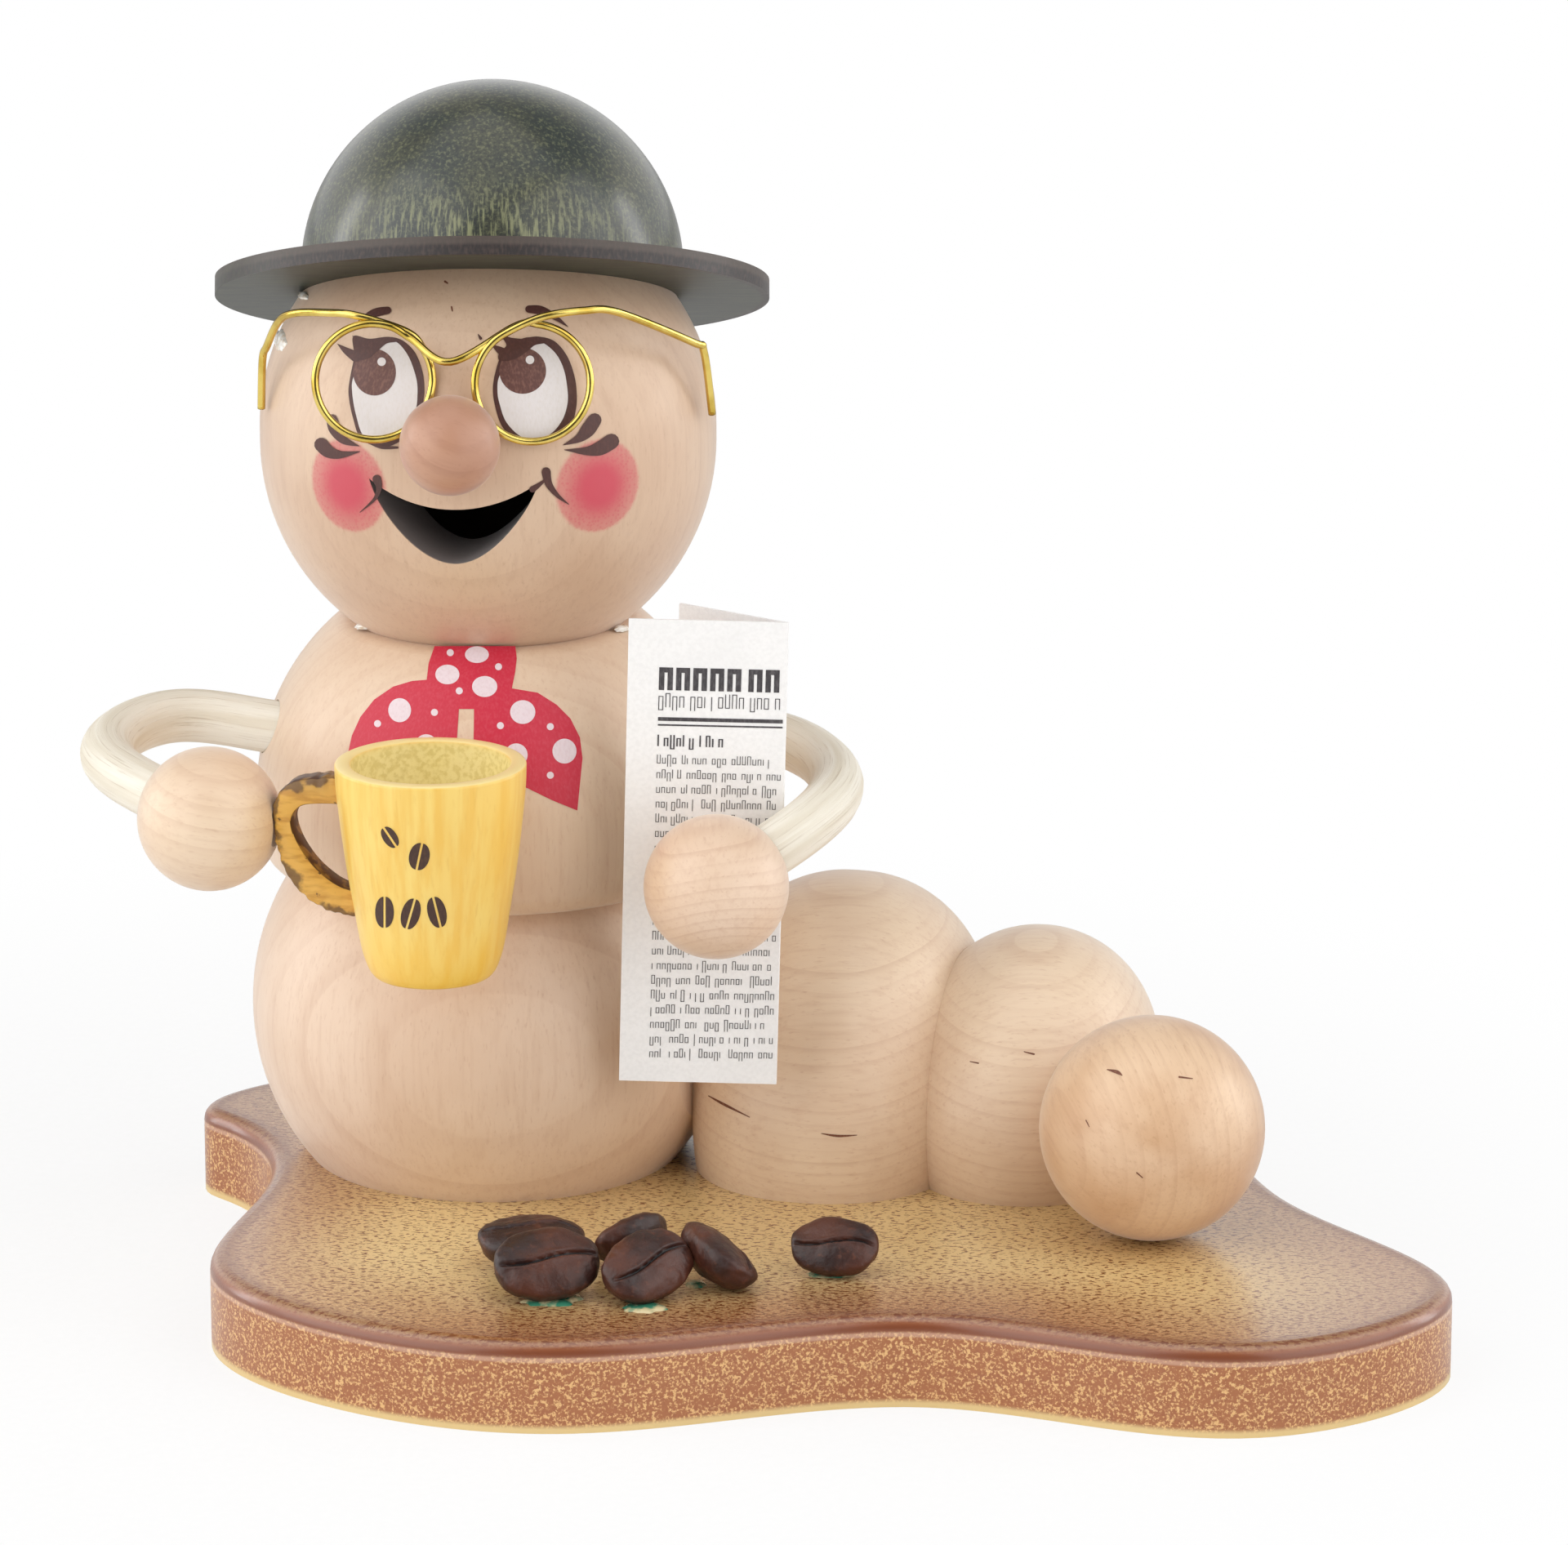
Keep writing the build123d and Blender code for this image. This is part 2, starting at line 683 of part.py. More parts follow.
def make_bean(row):
    x, y, length, turn, tilt, roll = row
    bean = Rot(0, 0, turn) * Rot(tilt, 0, 0) * Rot(0, roll, 0) * bean_solid(length)
    drop = base_thickness - bean.bounding_box().min.Z
    return Pos(x, y, drop) * bean


# All pieces

def make_pieces():
    pieces = {
        "base_plate": make_base_plate(),
        "base_screws": make_base_screws(),
        "lower_body": make_lower_body(),
        "incense_plate": make_incense_plate(),
        "plate_tack": make_plate_tack(),
        "tail_segments": make_tail_segments(),
        "tail_ball": make_tail_ball(),
        "tail_dowel": make_tail_dowel(),
        "torso": make_torso(),
        "head": make_head(),
        "nose": make_nose(),
        "hat_brim": make_hat_brim(),
        "hat_crown": make_hat_crown(),
        "spectacles": make_spectacles(),
        "mug_arm": make_mug_arm(),
        "mug_hand": make_mug_hand(),
        "paper_arm": make_paper_arm(),
        "paper_hand": make_paper_hand(),
        "mug": make_mug(),
        "mug_handle": make_mug_handle(),
        "newspaper": make_newspaper(),
    }
    for number, row in enumerate(bean_rows, start=1):
        pieces[f"coffee_bean_{number}"] = make_bean(row)
    return pieces


def middle_shift(shapes):
    """The move that puts the middle of the whole outline over the origin."""
    boxes = [shape.bounding_box() for shape in shapes]
    middle_x = (min(box.min.X for box in boxes) + max(box.max.X for box in boxes)) / 2
    middle_y = (min(box.min.Y for box in boxes) + max(box.max.Y for box in boxes)) / 2
    return Pos(-middle_x, -middle_y, 0)


pieces = make_pieces()
shift = middle_shift(pieces.values())
os.makedirs("parts", exist_ok=True)
for name, piece in pieces.items():
    export_step(shift * piece, f"parts/{name}.step")
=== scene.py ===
import random
from math import ceil, cos, exp, pi, radians, sin, sqrt, tau

import bpy
import numpy as np
from mathutils import Matrix, Vector, noise
from mathutils.bvhtree import BVHTree
from mathutils.geometry import delaunay_2d_cdt


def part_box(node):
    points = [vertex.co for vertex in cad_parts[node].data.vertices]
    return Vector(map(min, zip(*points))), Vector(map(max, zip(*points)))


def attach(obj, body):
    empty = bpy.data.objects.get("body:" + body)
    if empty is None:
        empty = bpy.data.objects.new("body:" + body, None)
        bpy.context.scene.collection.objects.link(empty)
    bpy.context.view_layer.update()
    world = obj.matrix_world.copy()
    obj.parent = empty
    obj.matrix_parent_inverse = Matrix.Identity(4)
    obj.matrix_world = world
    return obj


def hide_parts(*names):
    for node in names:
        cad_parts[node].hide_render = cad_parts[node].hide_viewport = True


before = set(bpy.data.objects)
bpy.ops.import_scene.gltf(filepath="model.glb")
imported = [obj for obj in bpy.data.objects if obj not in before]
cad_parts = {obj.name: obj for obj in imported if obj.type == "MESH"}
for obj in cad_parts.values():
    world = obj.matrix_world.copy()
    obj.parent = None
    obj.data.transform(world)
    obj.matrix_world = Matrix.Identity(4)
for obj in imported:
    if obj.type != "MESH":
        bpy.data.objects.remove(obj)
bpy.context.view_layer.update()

# The looks of a turned wooden worm smoker. Lengths are in metres, angles in degrees.
# Figure coordinates have the body's own axis at X = Y = 0, as the solids were drawn.
# A texture is a row of noise scale, detail and roughness. A window is the pair of values between
# which something fades in, or out if the first is the larger. A coat is a row of texture, stretch, window,
# share and colour. Colours are 0 to 255, as a screen shows them.
plate_low, plate_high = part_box("incense_plate")
figure_axis = Vector(((plate_low.x + plate_high.x) / 2, (plate_low.y + plate_high.y) / 2, 0))
base_body = "base_body"
upper_body = "upper_body"
millimetre = 0.001
middle_share = 0.5
even = (1, 1, 1)

# Photograph: its size, and the camera that took it, placed in figure coordinates
photo_width = 1920
photo_height = 1892
focal_pixels = 9000.0
camera_pitch = 15.5
camera_place = (0.0324, -0.7864, 0.2713)
film_width = 36.0
clip_reach = (0.05, 20.0)

# Turned pieces
base_level = 0.010
torso_radius = 0.0261
torso_centre_level = 0.0513
head_radius = 0.025
head_low_level = 0.09127
head_high_level = 0.09277
tail_ball_place = (0.07214, -0.03176, 0.0222)
tail_ball_radius = 0.0122
hand_radius = 0.00775
nose_place = (-0.00297, -0.02775, 0.09682)
nose_radius = 0.00535


def figure(point):
    """A point in figure coordinates, as a point of the frame."""
    return figure_axis + Vector(point)


# Shader helpers

class Value:
    """Something a node tree works out; numbers can be reckoned with like plain ones."""

    def __init__(self, tree, socket):
        self.tree = tree
        self.socket = socket

    def __add__(self, other):
        return self.tree.math("ADD", self, other)

    def __sub__(self, other):
        return self.tree.math("SUBTRACT", self, other)

    def __rsub__(self, other):
        return self.tree.math("SUBTRACT", other, self)

    def __mul__(self, other):
        return self.tree.math("MULTIPLY", self, other)

    def __truediv__(self, other):
        return self.tree.math("DIVIDE", self, other)


class NodeTree:
    """A node tree, with short calls for the nodes that repeat."""

    def __init__(self, tree):
        self.tree = tree
        self.tree.nodes.clear()

    def add(self, kind, inputs=None, output=0, **settings):
        """One output of a new node, whose inputs are given by name or number."""
        made = self.tree.nodes.new(kind)
        for key, value in settings.items():
            setattr(made, key, value)
        for key, value in (inputs or {}).items():
            self.feed(made.inputs[key], value)
        return Value(self, made.outputs[output])

    def feed(self, socket, value):
        if isinstance(value, Value):
            self.tree.links.new(value.socket, socket)
        else:
            socket.default_value = value

    def math(self, operation, first, second=0.0):
        return self.add("ShaderNodeMath", {0: first, 1: second}, operation=operation)

    def most(self, first, second):
        return self.math("MAXIMUM", first, second)

    def vector(self, operation, first, second=(0, 0, 0), output="Vector"):
        return self.add("ShaderNodeVectorMath", {0: first, 1: second}, output, operation=operation)

    def length(self, vector):
        return self.vector("LENGTH", vector, output="Value")

    def parts(self, vector):
        node = self.add("ShaderNodeSeparateXYZ", {0: vector}).socket.node
        return [Value(self, socket) for socket in node.outputs]

    def joined(self, x, y, z):
        return self.add("ShaderNodeCombineXYZ", {0: x, 1: y, 2: z})

    def window(self, value, low, high, start=0.0, end=1.0):
        """The start value up to low and the end value from high on, smooth between."""
        if low > high:
            return self.window(value, high, low, end, start)
        inputs = {"Value": value, "From Min": low, "From Max": high, "To Min": start, "To Max": end}
        return self.add("ShaderNodeMapRange", inputs, interpolation_type="SMOOTHSTEP")

    def band(self, value, rise, fall):
        return self.window(value, *rise) * self.window(value, *fall)


class Shader(NodeTree):
    """One material's node tree; its place is the point in figure coordinates."""

    def __init__(self, name):
        self.material = bpy.data.materials.new(name)
        self.material.use_nodes = True
        super().__init__(self.material.node_tree)
        self.output = self.tree.nodes.new("ShaderNodeOutputMaterial").inputs[0]
        place = self.add("ShaderNodeTexCoord", output="Object")
        self.place = self.vector("SUBTRACT", place, tuple(figure_axis))

    def mapped(self, vector, location=(0, 0, 0), rotation=(0, 0, 0), scale=even):
        inputs = {"Vector": vector, "Location": location, "Rotation": rotation, "Scale": scale}
        return self.add("ShaderNodeMapping", inputs)

    def noise(self, vector, scale, detail=2.0, roughness=0.5):
        inputs = {"Vector": vector, "Scale": scale, "Detail": detail, "Roughness": roughness}
        return self.add("ShaderNodeTexNoise", inputs, "Fac")

    def mix(self, share, first, second):
        inputs = {0: share, 6: self.colour(first), 7: self.colour(second)}
        return self.add("ShaderNodeMix", inputs, 2, data_type="RGBA")

    def colour(self, value):
        return value if isinstance(value, Value) else linear(value)

    def laid(self, tone, colour, texture, window, share=1.0):
        """The tone, with a colour laid over it where the texture lies in the window."""
        return self.mix(self.window(texture, *window) * share, tone, colour)

    def coated(self, place, tone, coats):
        """The tone under some coats, each with a stretched noise of its own, and those noises."""
        textures = []
        for texture, stretch, window, share, colour in coats:
            textures.append(self.noise(self.mapped(place, scale=stretch), *texture))
            tone = self.laid(tone, colour, textures[-1], window, share)
        return tone, textures

    def surface(self, tone, roughness, relief, relief_height, finish):
        """The finished material, with a texture as its relief and further inputs by name."""
        normal = self.add("ShaderNodeBump", {"Height": relief, "Distance": relief_height, "Strength": 1.0})
        inputs = {"Base Color": tone, "Roughness": roughness, "Normal": normal, **finish}
        self.principled = self.add("ShaderNodeBsdfPrincipled", inputs)
        self.feed(self.output, self.principled)
        return self.material


full_byte = 255
byte_toe = 0.04045
toe_slope = 12.92
curve_offset = 0.055
curve_power = 2.4


def linear(colour):
    """A screen's colour as the linear colour that a shader wants."""
    shares = [channel / full_byte for channel in colour]
    parts = [s / toe_slope if s <= byte_toe else ((s + curve_offset) / (1 + curve_offset)) ** curve_power
             for s in shares]
    return (*parts, 1.0)


# Wood: growth rings round a far pith line, fine fibres along it, pores and soft clouds
wood_defaults = {
    "light": (232, 205, 178),
    "line": (196, 150, 116),
    "shade": (218, 184, 152),
    "pith": (0.0, -0.066, 0.0),
    "lean": (0.0, 0.0, 0.0),
    "ring_gap": 0.0022,
    "ring_share": 0.20,
    "shade_share": 0.5,
    "seed": 0.0,
}
ring_sway_scale = 24.0
ring_sway = 0.0024
ring_along_share = 0.02
ring_rise = (0.55, 0.95)
ring_fall = (1.0, 0.955)
ring_least_share = 0.3
cloud_texture = (60.0, 3.0)
cloud_window = (0.38, 0.66)
fibre_texture = (1500.0, 4.0)
fibre_stretch = (1, 1, 0.05)
fibre_window = (0.45, 0.78)
fibre_share = 0.20
pore_texture = (3600.0,)
pore_stretch = (1, 1, 0.22)
pore_window = (0.55, 0.80)
pore_share = 0.30
wood_relief = 0.00002
wood_rough_share = 0.14
wood_least_rough = 0.43
wood_finish = {"Coat Weight": 0.7, "Coat Roughness": 0.42, "Sheen Weight": 0.35, "Sheen Roughness": 0.45}

# How the woods of the pieces depart from that
head_look = {"light": (216, 185, 156), "line": (176, 132, 102), "shade": (200, 162, 131),
             "pith": (-0.006, -0.045, 0.0), "seed": 0.1, "ring_share": 0.14}
torso_look = {"light": (230, 204, 176), "pith": (0.004, -0.060, 0.0), "seed": 0.62, "ring_share": 0.16}
lower_look = {"light": (236, 208, 182), "pith": (0.0, -0.024, 0.0), "ring_gap": 0.003, "seed": 0.45,
              "ring_share": 0.15}
tail_look = {"light": (240, 214, 184), "line": (192, 140, 104), "lean": (0.0, 90.0, 15.0),
             "pith": (0.05, 0.01, 0.0), "ring_gap": 0.0014, "ring_share": 0.17, "seed": 0.45}
tail_ball_look = {"light": (232, 198, 162), "line": (178, 122, 82), "shade": (206, 160, 116),
                  "lean": (60.0, 20.0, 0.0), "pith": (0.02, 0.05, 0.0), "ring_gap": 0.0016,
                  "ring_share": 0.15, "shade_share": 0.9, "seed": 0.2}
nose_look = {"light": (196, 148, 118), "line": (158, 104, 76), "shade": (178, 126, 98),
             "lean": (0.0, 70.0, 0.0), "pith": (0.0, -0.03, 0.0), "ring_gap": 0.0024, "ring_share": 0.32,
             "seed": 0.7, "shade_share": 0.8}
mug_hand_look = {"light": (236, 210, 180), "lean": (0.0, 80.0, 30.0), "pith": (0.0, 0.03, 0.0),
                 "seed": 0.3, "ring_share": 0.22}
paper_hand_look = {"light": (232, 204, 178), "line": (190, 140, 108), "lean": (80.0, 0.0, 0.0),
                   "pith": (-0.0262, 0.0475, 0.0), "ring_gap": 0.0011, "ring_share": 0.22, "seed": 0.15}
dowel_look = {"light": (226, 196, 160), "seed": 0.9}


def wood_tone(shader, look):
    """The wood's colour and its fibre pattern."""
    look = {**wood_defaults, **look}
    local = shader.mapped(shader.place, rotation=[radians(angle) for angle in look["lean"]])
    local = shader.vector("ADD", local, look["pith"])
    sway = shader.add("ShaderNodeTexNoise", {"Vector": local, "Scale": ring_sway_scale}, "Color")
    sway = shader.vector("SUBTRACT", sway, (middle_share,) * 3)
    swayed = shader.vector("ADD", local, shader.vector("MULTIPLY", sway, (ring_sway,) * 3))
    across = shader.length(shader.vector("MULTIPLY", swayed, (1, 1, ring_along_share)))
    phase = across / look["ring_gap"] + look["seed"]
    number = {"W": shader.math("FLOOR", phase)}
    weight = shader.add("ShaderNodeTexWhiteNoise", number, "Value", noise_dimensions="1D")
    ring = shader.band(shader.math("FRACT", phase), ring_rise, ring_fall) * (weight + ring_least_share)
    cloud = shader.noise(shader.mapped(local, location=(look["seed"], 0, 0)), *cloud_texture)
    tone = shader.laid(look["light"], look["shade"], cloud, cloud_window, look["shade_share"])
    tone = shader.mix(ring * look["ring_share"], tone, look["line"])
    coats = [(fibre_texture, fibre_stretch, fibre_window, fibre_share, look["line"]),
             (pore_texture, pore_stretch, pore_window, pore_share, look["line"])]
    tone, textures = shader.coated(local, tone, coats)
    return tone, textures[0]


def finish_wood(shader, tone, fibres):
    rough = fibres * wood_rough_share + wood_least_rough
    return shader.surface(tone, rough, fibres, wood_relief, wood_finish)


def wood(name, look):
    shader = Shader(name)
    return finish_wood(shader, *wood_tone(shader, look))


# Photograph's rays and the surfaces that prints are laid on

def pixel_direction(pixel):
    """The direction from the camera through a pixel of the photograph."""
    across = pixel[0] - photo_width / 2
    down = pixel[1] - photo_height / 2
    tilt = radians(camera_pitch)
    forward = Vector((0, cos(tilt), -sin(tilt)))
    upward = Vector((0, sin(tilt), cos(tilt)))
    return (forward * focal_pixels + Vector((1, 0, 0)) * across - upward * down).normalized()


class Ball:
    """A turned ball, or two half balls with a straight band between their centres."""

    settle_steps = 8

    def __init__(self, centre, radius, high_level=None):
        self.centre = Vector(centre)
        self.high_level = self.centre.z if high_level is None else high_level
        self.radius = radius

    def centre_at(self, level):
        return Vector((self.centre.x, self.centre.y, min(max(level, self.centre.z), self.high_level)))

    def touch(self, pixel, lift=0.0):
        """Where the pixel's ray meets the ball, lifted off it, and the normal there, in the frame."""
        start = Vector(camera_place)
        direction = pixel_direction(pixel)
        centre = self.centre
        for step in range(self.settle_steps):
            offset = start - centre
            closing = offset.dot(direction)
            inside = max(0, closing ** 2 - offset.length_squared + self.radius ** 2)
            point = start + direction * (-closing - sqrt(inside))
            centre = self.centre_at(point.z)
        normal = (point - centre).normalized()
        return figure(point + normal * lift), normal


class Faces:
    """A piece's own faces, to lay prints on."""

    def __init__(self, piece):
        points = [vertex.co.copy() for vertex in piece.data.vertices]
        self.tree = BVHTree.FromPolygons(points, [tuple(face.vertices) for face in piece.data.polygons])

    def touch(self, pixel, lift=0.0):
        direction = pixel_direction(pixel)
        point, normal, index, reach = self.tree.ray_cast(figure(camera_place), direction)
        if normal.dot(direction) > 0:
            normal = -normal
        return point + normal * lift, normal


class LevelPlane:
    """The board's flat top, to lay glue on."""

    def touch(self, pixel, lift=0.0):
        direction = pixel_direction(pixel)
        reach = (base_level - camera_place[2]) / direction.z
        return figure(Vector(camera_place) + direction * reach) + Vector((0, 0, lift)), Vector((0, 0, 1))


head_ball = Ball((0, 0, head_low_level), head_radius, head_high_level)
torso_ball = Ball((0, 0, torso_centre_level), torso_radius)
tail_end_ball = Ball(tail_ball_place, tail_ball_radius)


# Flat lines and outlines
curve_steps = 8
oval_steps = 40
cap_steps = 6
least_half_width = 0.35
rim_gap_share = 0.33
smallest_square = 1e-12


def between(start, end, start_slope, end_slope, t):
    """A point of the cubic from start to end that leaves and arrives with the given slopes."""
    return (start * (2 * t ** 3 - 3 * t ** 2 + 1) + end * (3 * t ** 2 - 2 * t ** 3)
            + start_slope * (t ** 3 - 2 * t ** 2 + t) + end_slope * (t ** 3 - t ** 2))


def smooth(points, closed=False, steps=curve_steps):
    """Points on a smooth line through the given ones, by the Catmull-Rom rule."""
    points = [Vector(point) for point in points]
    rows = [points[-1], *points, points[0], points[1]] if closed else [points[0], *points, points[-1]]
    made = []
    for before, start, end, after in zip(rows, rows[1:], rows[2:], rows[3:]):
        slopes = ((end - before) / 2, (after - start) / 2)
        made += [between(start, end, *slopes, step / steps) for step in range(steps)]
    return made if closed else [*made, points[-1]]


def turned(x, y, angle):
    """A flat point, turned about the origin."""
    return Vector((x * cos(angle) - y * sin(angle), x * sin(angle) + y * cos(angle)))


def oval(centre, half_width, half_height):
    """An oval's outline in pixels."""
    turns = [tau * step / oval_steps for step in range(oval_steps)]
    return [Vector((centre[0] + half_width * cos(t), centre[1] + half_height * sin(t))) for t in turns]


def stroke(points, half_widths):
    """A brush stroke's outline in pixels, its half width changing from point to point, with round ends."""
    line = smooth(points)
    widths = smooth([(width, 0) for width in half_widths])
    left = []
    right = []
    for index, point in enumerate(line):
        ahead = line[min(index + 1, len(line) - 1)] - line[max(index - 1, 0)]
        side = Vector((-ahead.y, ahead.x)).normalized() * max(widths[index][0], least_half_width)
        left.append(point + side)
        right.append(point - side)
    end_cap = round_cap(line[-1], left[-1] - line[-1])
    start_cap = round_cap(line[0], right[0] - line[0])
    return left + end_cap + right[::-1] + start_cap


def round_cap(middle, arm):
    """Points half way round an end of a stroke."""
    return [middle + turned(arm.x, arm.y, -pi * step / cap_steps) for step in range(1, cap_steps)]


def runs_of(outline):
    return zip(outline, [*outline[1:], outline[0]])


def divided(outline, spacing):
    """A closed outline with more points on each run that is longer than the spacing."""
    made = []
    for first, last in runs_of(outline):
        first = Vector(first)
        run = Vector(last) - first
        count = ceil(run.length / spacing)
        made += [first + run * step / count for step in range(count)]
    return made


def grid_inside(outline, spacing):
    """Grid points inside a flat outline and not too near it."""
    xs = [point.x for point in outline]
    ys = [point.y for point in outline]
    made = []
    for column in range(int((max(xs) - min(xs)) / spacing)):
        x = min(xs) + spacing * (column + middle_share)
        for row in range(int((max(ys) - min(ys)) / spacing)):
            spot = Vector((x, min(ys) + spacing * (row + middle_share)))
            if is_inside(spot, outline) and rim_distance(spot, outline) > spacing * rim_gap_share:
                made.append(spot)
    return made


def is_inside(spot, outline):
    crossings = 0
    for first, last in runs_of(outline):
        if (first.y > spot.y) != (last.y > spot.y):
            crossing_x = first.x + (last.x - first.x) * (spot.y - first.y) / (last.y - first.y)
            crossings += crossing_x > spot.x
    return crossings % 2 == 1


def rim_distance(spot, outline):
    """The distance from a flat point to the nearest run of an outline."""
    reaches = []
    for first, last in runs_of(outline):
        run = last - first
        share = max(0, min(1, (spot - first).dot(run) / max(run.length_squared, smallest_square)))
        reaches.append((first + run * share - spot).length)
    return min(reaches)


# Pieces and printed films; each layer of print stands a little further off the wood
print_lift = 0.00004
print_layer = 0.000015
print_grid_pixels = 12.0
print_merge_pixels = 0.001
inside_only = 1
sharp_angle = 50.0
ink_coats = ((3800.0, 3.0), (1, 1, 0.4), (0.40, 0.75))
ink_speckle_share = 0.5
ink_finish = {"Coat Weight": 0.1, "Coat Roughness": 0.3}


def add_piece(name, points, faces, material, body, is_sharp=False, layer=None):
    """A new piece of the object: a mesh that rides on a body, with one material."""
    mesh = bpy.data.meshes.new(name)
    mesh.from_pydata([tuple(point) for point in points], [], faces)
    mesh.materials.append(material)
    mesh.polygons.foreach_set("use_smooth", [True] * len(mesh.polygons))
    mesh.update()
    if layer:
        mesh.attributes.new(layer[0], "FLOAT", "POINT").data.foreach_set("value", layer[1])
    if is_sharp:
        mesh.set_sharp_from_angle(angle=radians(sharp_angle))
    piece = bpy.data.objects.new(name, mesh)
    bpy.context.scene.collection.objects.link(piece)
    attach(piece, body)
    return piece


def ring_faces(rings, steps, is_capped=True):
    """Faces between rings of points that follow each other, and one across each end."""
    faces = []
    for low in range(0, (rings - 1) * steps, steps):
        for step in range(steps):
            following = (step + 1) % steps
            faces.append([low + step, low + following, low + steps + following, low + steps + step])
    if is_capped:
        faces.append(list(range(steps))[::-1])
        faces.append([(rings - 1) * steps + step for step in range(steps)])
    return faces


def lay_print(name, outlines, carrier, material, body, layer=0):
    """The patches of one ink, as one thin piece that follows what carries it."""
    lift = print_lift + print_layer * layer
    points = []
    faces = []
    for outline in outlines:
        rim = divided(outline, print_grid_pixels)
        spots = rim + grid_inside(rim, print_grid_pixels)
        loop = [tuple(range(len(rim)))]
        spots, edges, patches, *_ = delaunay_2d_cdt(spots, [], loop, inside_only, print_merge_pixels)
        touched = [carrier.touch(spot, lift) for spot in spots]
        first = len(points)
        points += [point for point, normal in touched]
        for patch in patches:
            corners = [touched[index][0] for index in patch]
            square = (corners[1] - corners[0]).cross(corners[2] - corners[0])
            if square.dot(touched[patch[0]][1]) < 0:
                patch = patch[::-1]
            faces.append([first + index for index in patch])
    return add_piece(name, points, faces, material, body)


def ink(name, colour, thin_colour, speckle_share=ink_speckle_share):
    """Printed ink that lets a little of the wood's fine grain through."""
    shader = Shader(name)
    tone, textures = shader.coated(shader.place, colour, [(*ink_coats, speckle_share, thin_colour)])
    rough = textures[0] * wood_rough_share + wood_least_rough
    return shader.surface(tone, rough, textures[0], wood_relief, ink_finish)


# Face print, in pixels of the photograph; a stroke has its points and its half width at each
left_eye_rim = [(432.8, 412), (452.7, 415), (475.6, 412.6), (493.4, 417.2), (508.8, 432.5), (517.3, 454.9),
                (519.6, 474), (518.5, 490), (512, 515), (495, 537), (470, 547.5), (443, 538), (432.5, 512),
                (427, 482.4), (429.2, 461), (433.8, 436)]
right_eye_rim = [(627.1, 418.7), (643, 414.2), (660, 412.4), (679.2, 418.2), (694.5, 436.5), (703.4, 461),
                 (706.1, 482.4), (705.2, 500.8), (699.1, 519.2), (679, 536.5), (655.7, 544.5), (633.3, 540.6),
                 (614.9, 522.2), (606.3, 497.8), (603.5, 476.3), (606.8, 454.9), (614.4, 433.5)]
left_eye_white = [(461.8, 427.9), (481.7, 417.6), (498.6, 433.5), (509.3, 461), (511.4, 482.4), (508, 505),
                  (493, 529), (470, 542), (446, 534), (436.3, 508), (431.8, 482.4), (432.5, 464), (444, 440)]
right_eye_white = [(648, 424), (661, 418.6), (679.2, 431.9), (689.9, 451.8), (694.5, 476.3), (694.5, 494.7),
                   (688.4, 514.1), (675.1, 530.4), (655.7, 539), (636.3, 533.5), (619.5, 516.2),
                   (611.8, 494.7), (609.2, 480), (611, 462), (624, 440)]
irises = [((459, 456), 26.2, 28.5), ((639.9, 454.2), 28.6, 28.2)]
glints = [((467.8, 443.3), 5.2, 5.2), ((648.7, 441), 5.2, 5.2)]
left_lid = [(433, 413), (445, 419), (456, 417), (478, 414), (487, 418.5), (474, 421), (463, 430), (450, 440),
            (436, 440), (431, 433), (437, 424)]
right_lid = [(613, 411), (628, 418), (645, 413.5), (662, 414.5), (668, 420), (655, 423), (645, 431),
             (630, 440), (612, 442), (611, 432), (620, 423)]
face_strokes = [
    ([(414, 421.6), (424, 429.5), (436, 437)], [0.3, 4, 6.5]),
    ([(432.4, 411.6), (440, 419), (452, 422)], [0.3, 3.4, 6]),
    ([(602, 422.6), (611, 428.5), (622, 436)], [0.3, 4.2, 6.5]),
    ([(614, 409.8), (624, 417), (636, 421)], [0.3, 3.6, 6]),
    ([(585.6, 409.6), (588.4, 414.6)], [0.4, 2]),
    ([(475, 380.4), (460, 383.4), (446, 391), (431.5, 404)], [4.6, 5.2, 3.4, 0.4]),
    ([(647.6, 379), (662, 380.5), (678, 388), (695, 400.4)], [4.6, 5.4, 3.6, 0.4]),
    ([(727.8, 514.4), (719, 527), (708, 537), (689.6, 544.8)], [8.4, 8.6, 5, 0.4]),
    ([(748.4, 540.4), (734, 549), (718, 552.2), (691, 550.8)], [9.4, 8.6, 5.2, 0.4]),
    ([(407, 514), (411, 526), (422, 539), (440, 546.2)], [6.8, 7.4, 5, 0.4]),
    ([(394, 544.4), (403, 553), (418, 556.6), (441, 552.8)], [8.6, 7.6, 4.6, 0.4]),
    ([(461.8, 586.6), (464.4, 597), (459, 611), (441.4, 627)], [5.4, 3.4, 2, 0.4]),
    ([(668.6, 577.6), (671.8, 592.6), (682.2, 606.4), (696.2, 617.4)], [5.6, 4.4, 2.6, 0.4]),
    ([(452, 541.5), (468, 547.5), (487, 548)], [1.6, 2.2, 1.4]),
    ([(652, 599), (660, 593.5), (669, 586)], [4, 2.6, 1]),
]
iris_ink = (92, 52, 44)
iris_thin = (126, 84, 70)
iris_speckle_share = 0.9
line_ink = (72, 34, 27)
line_thin = (94, 52, 43)
white_ink = (224, 217, 215)
white_thin = (216, 207, 200)


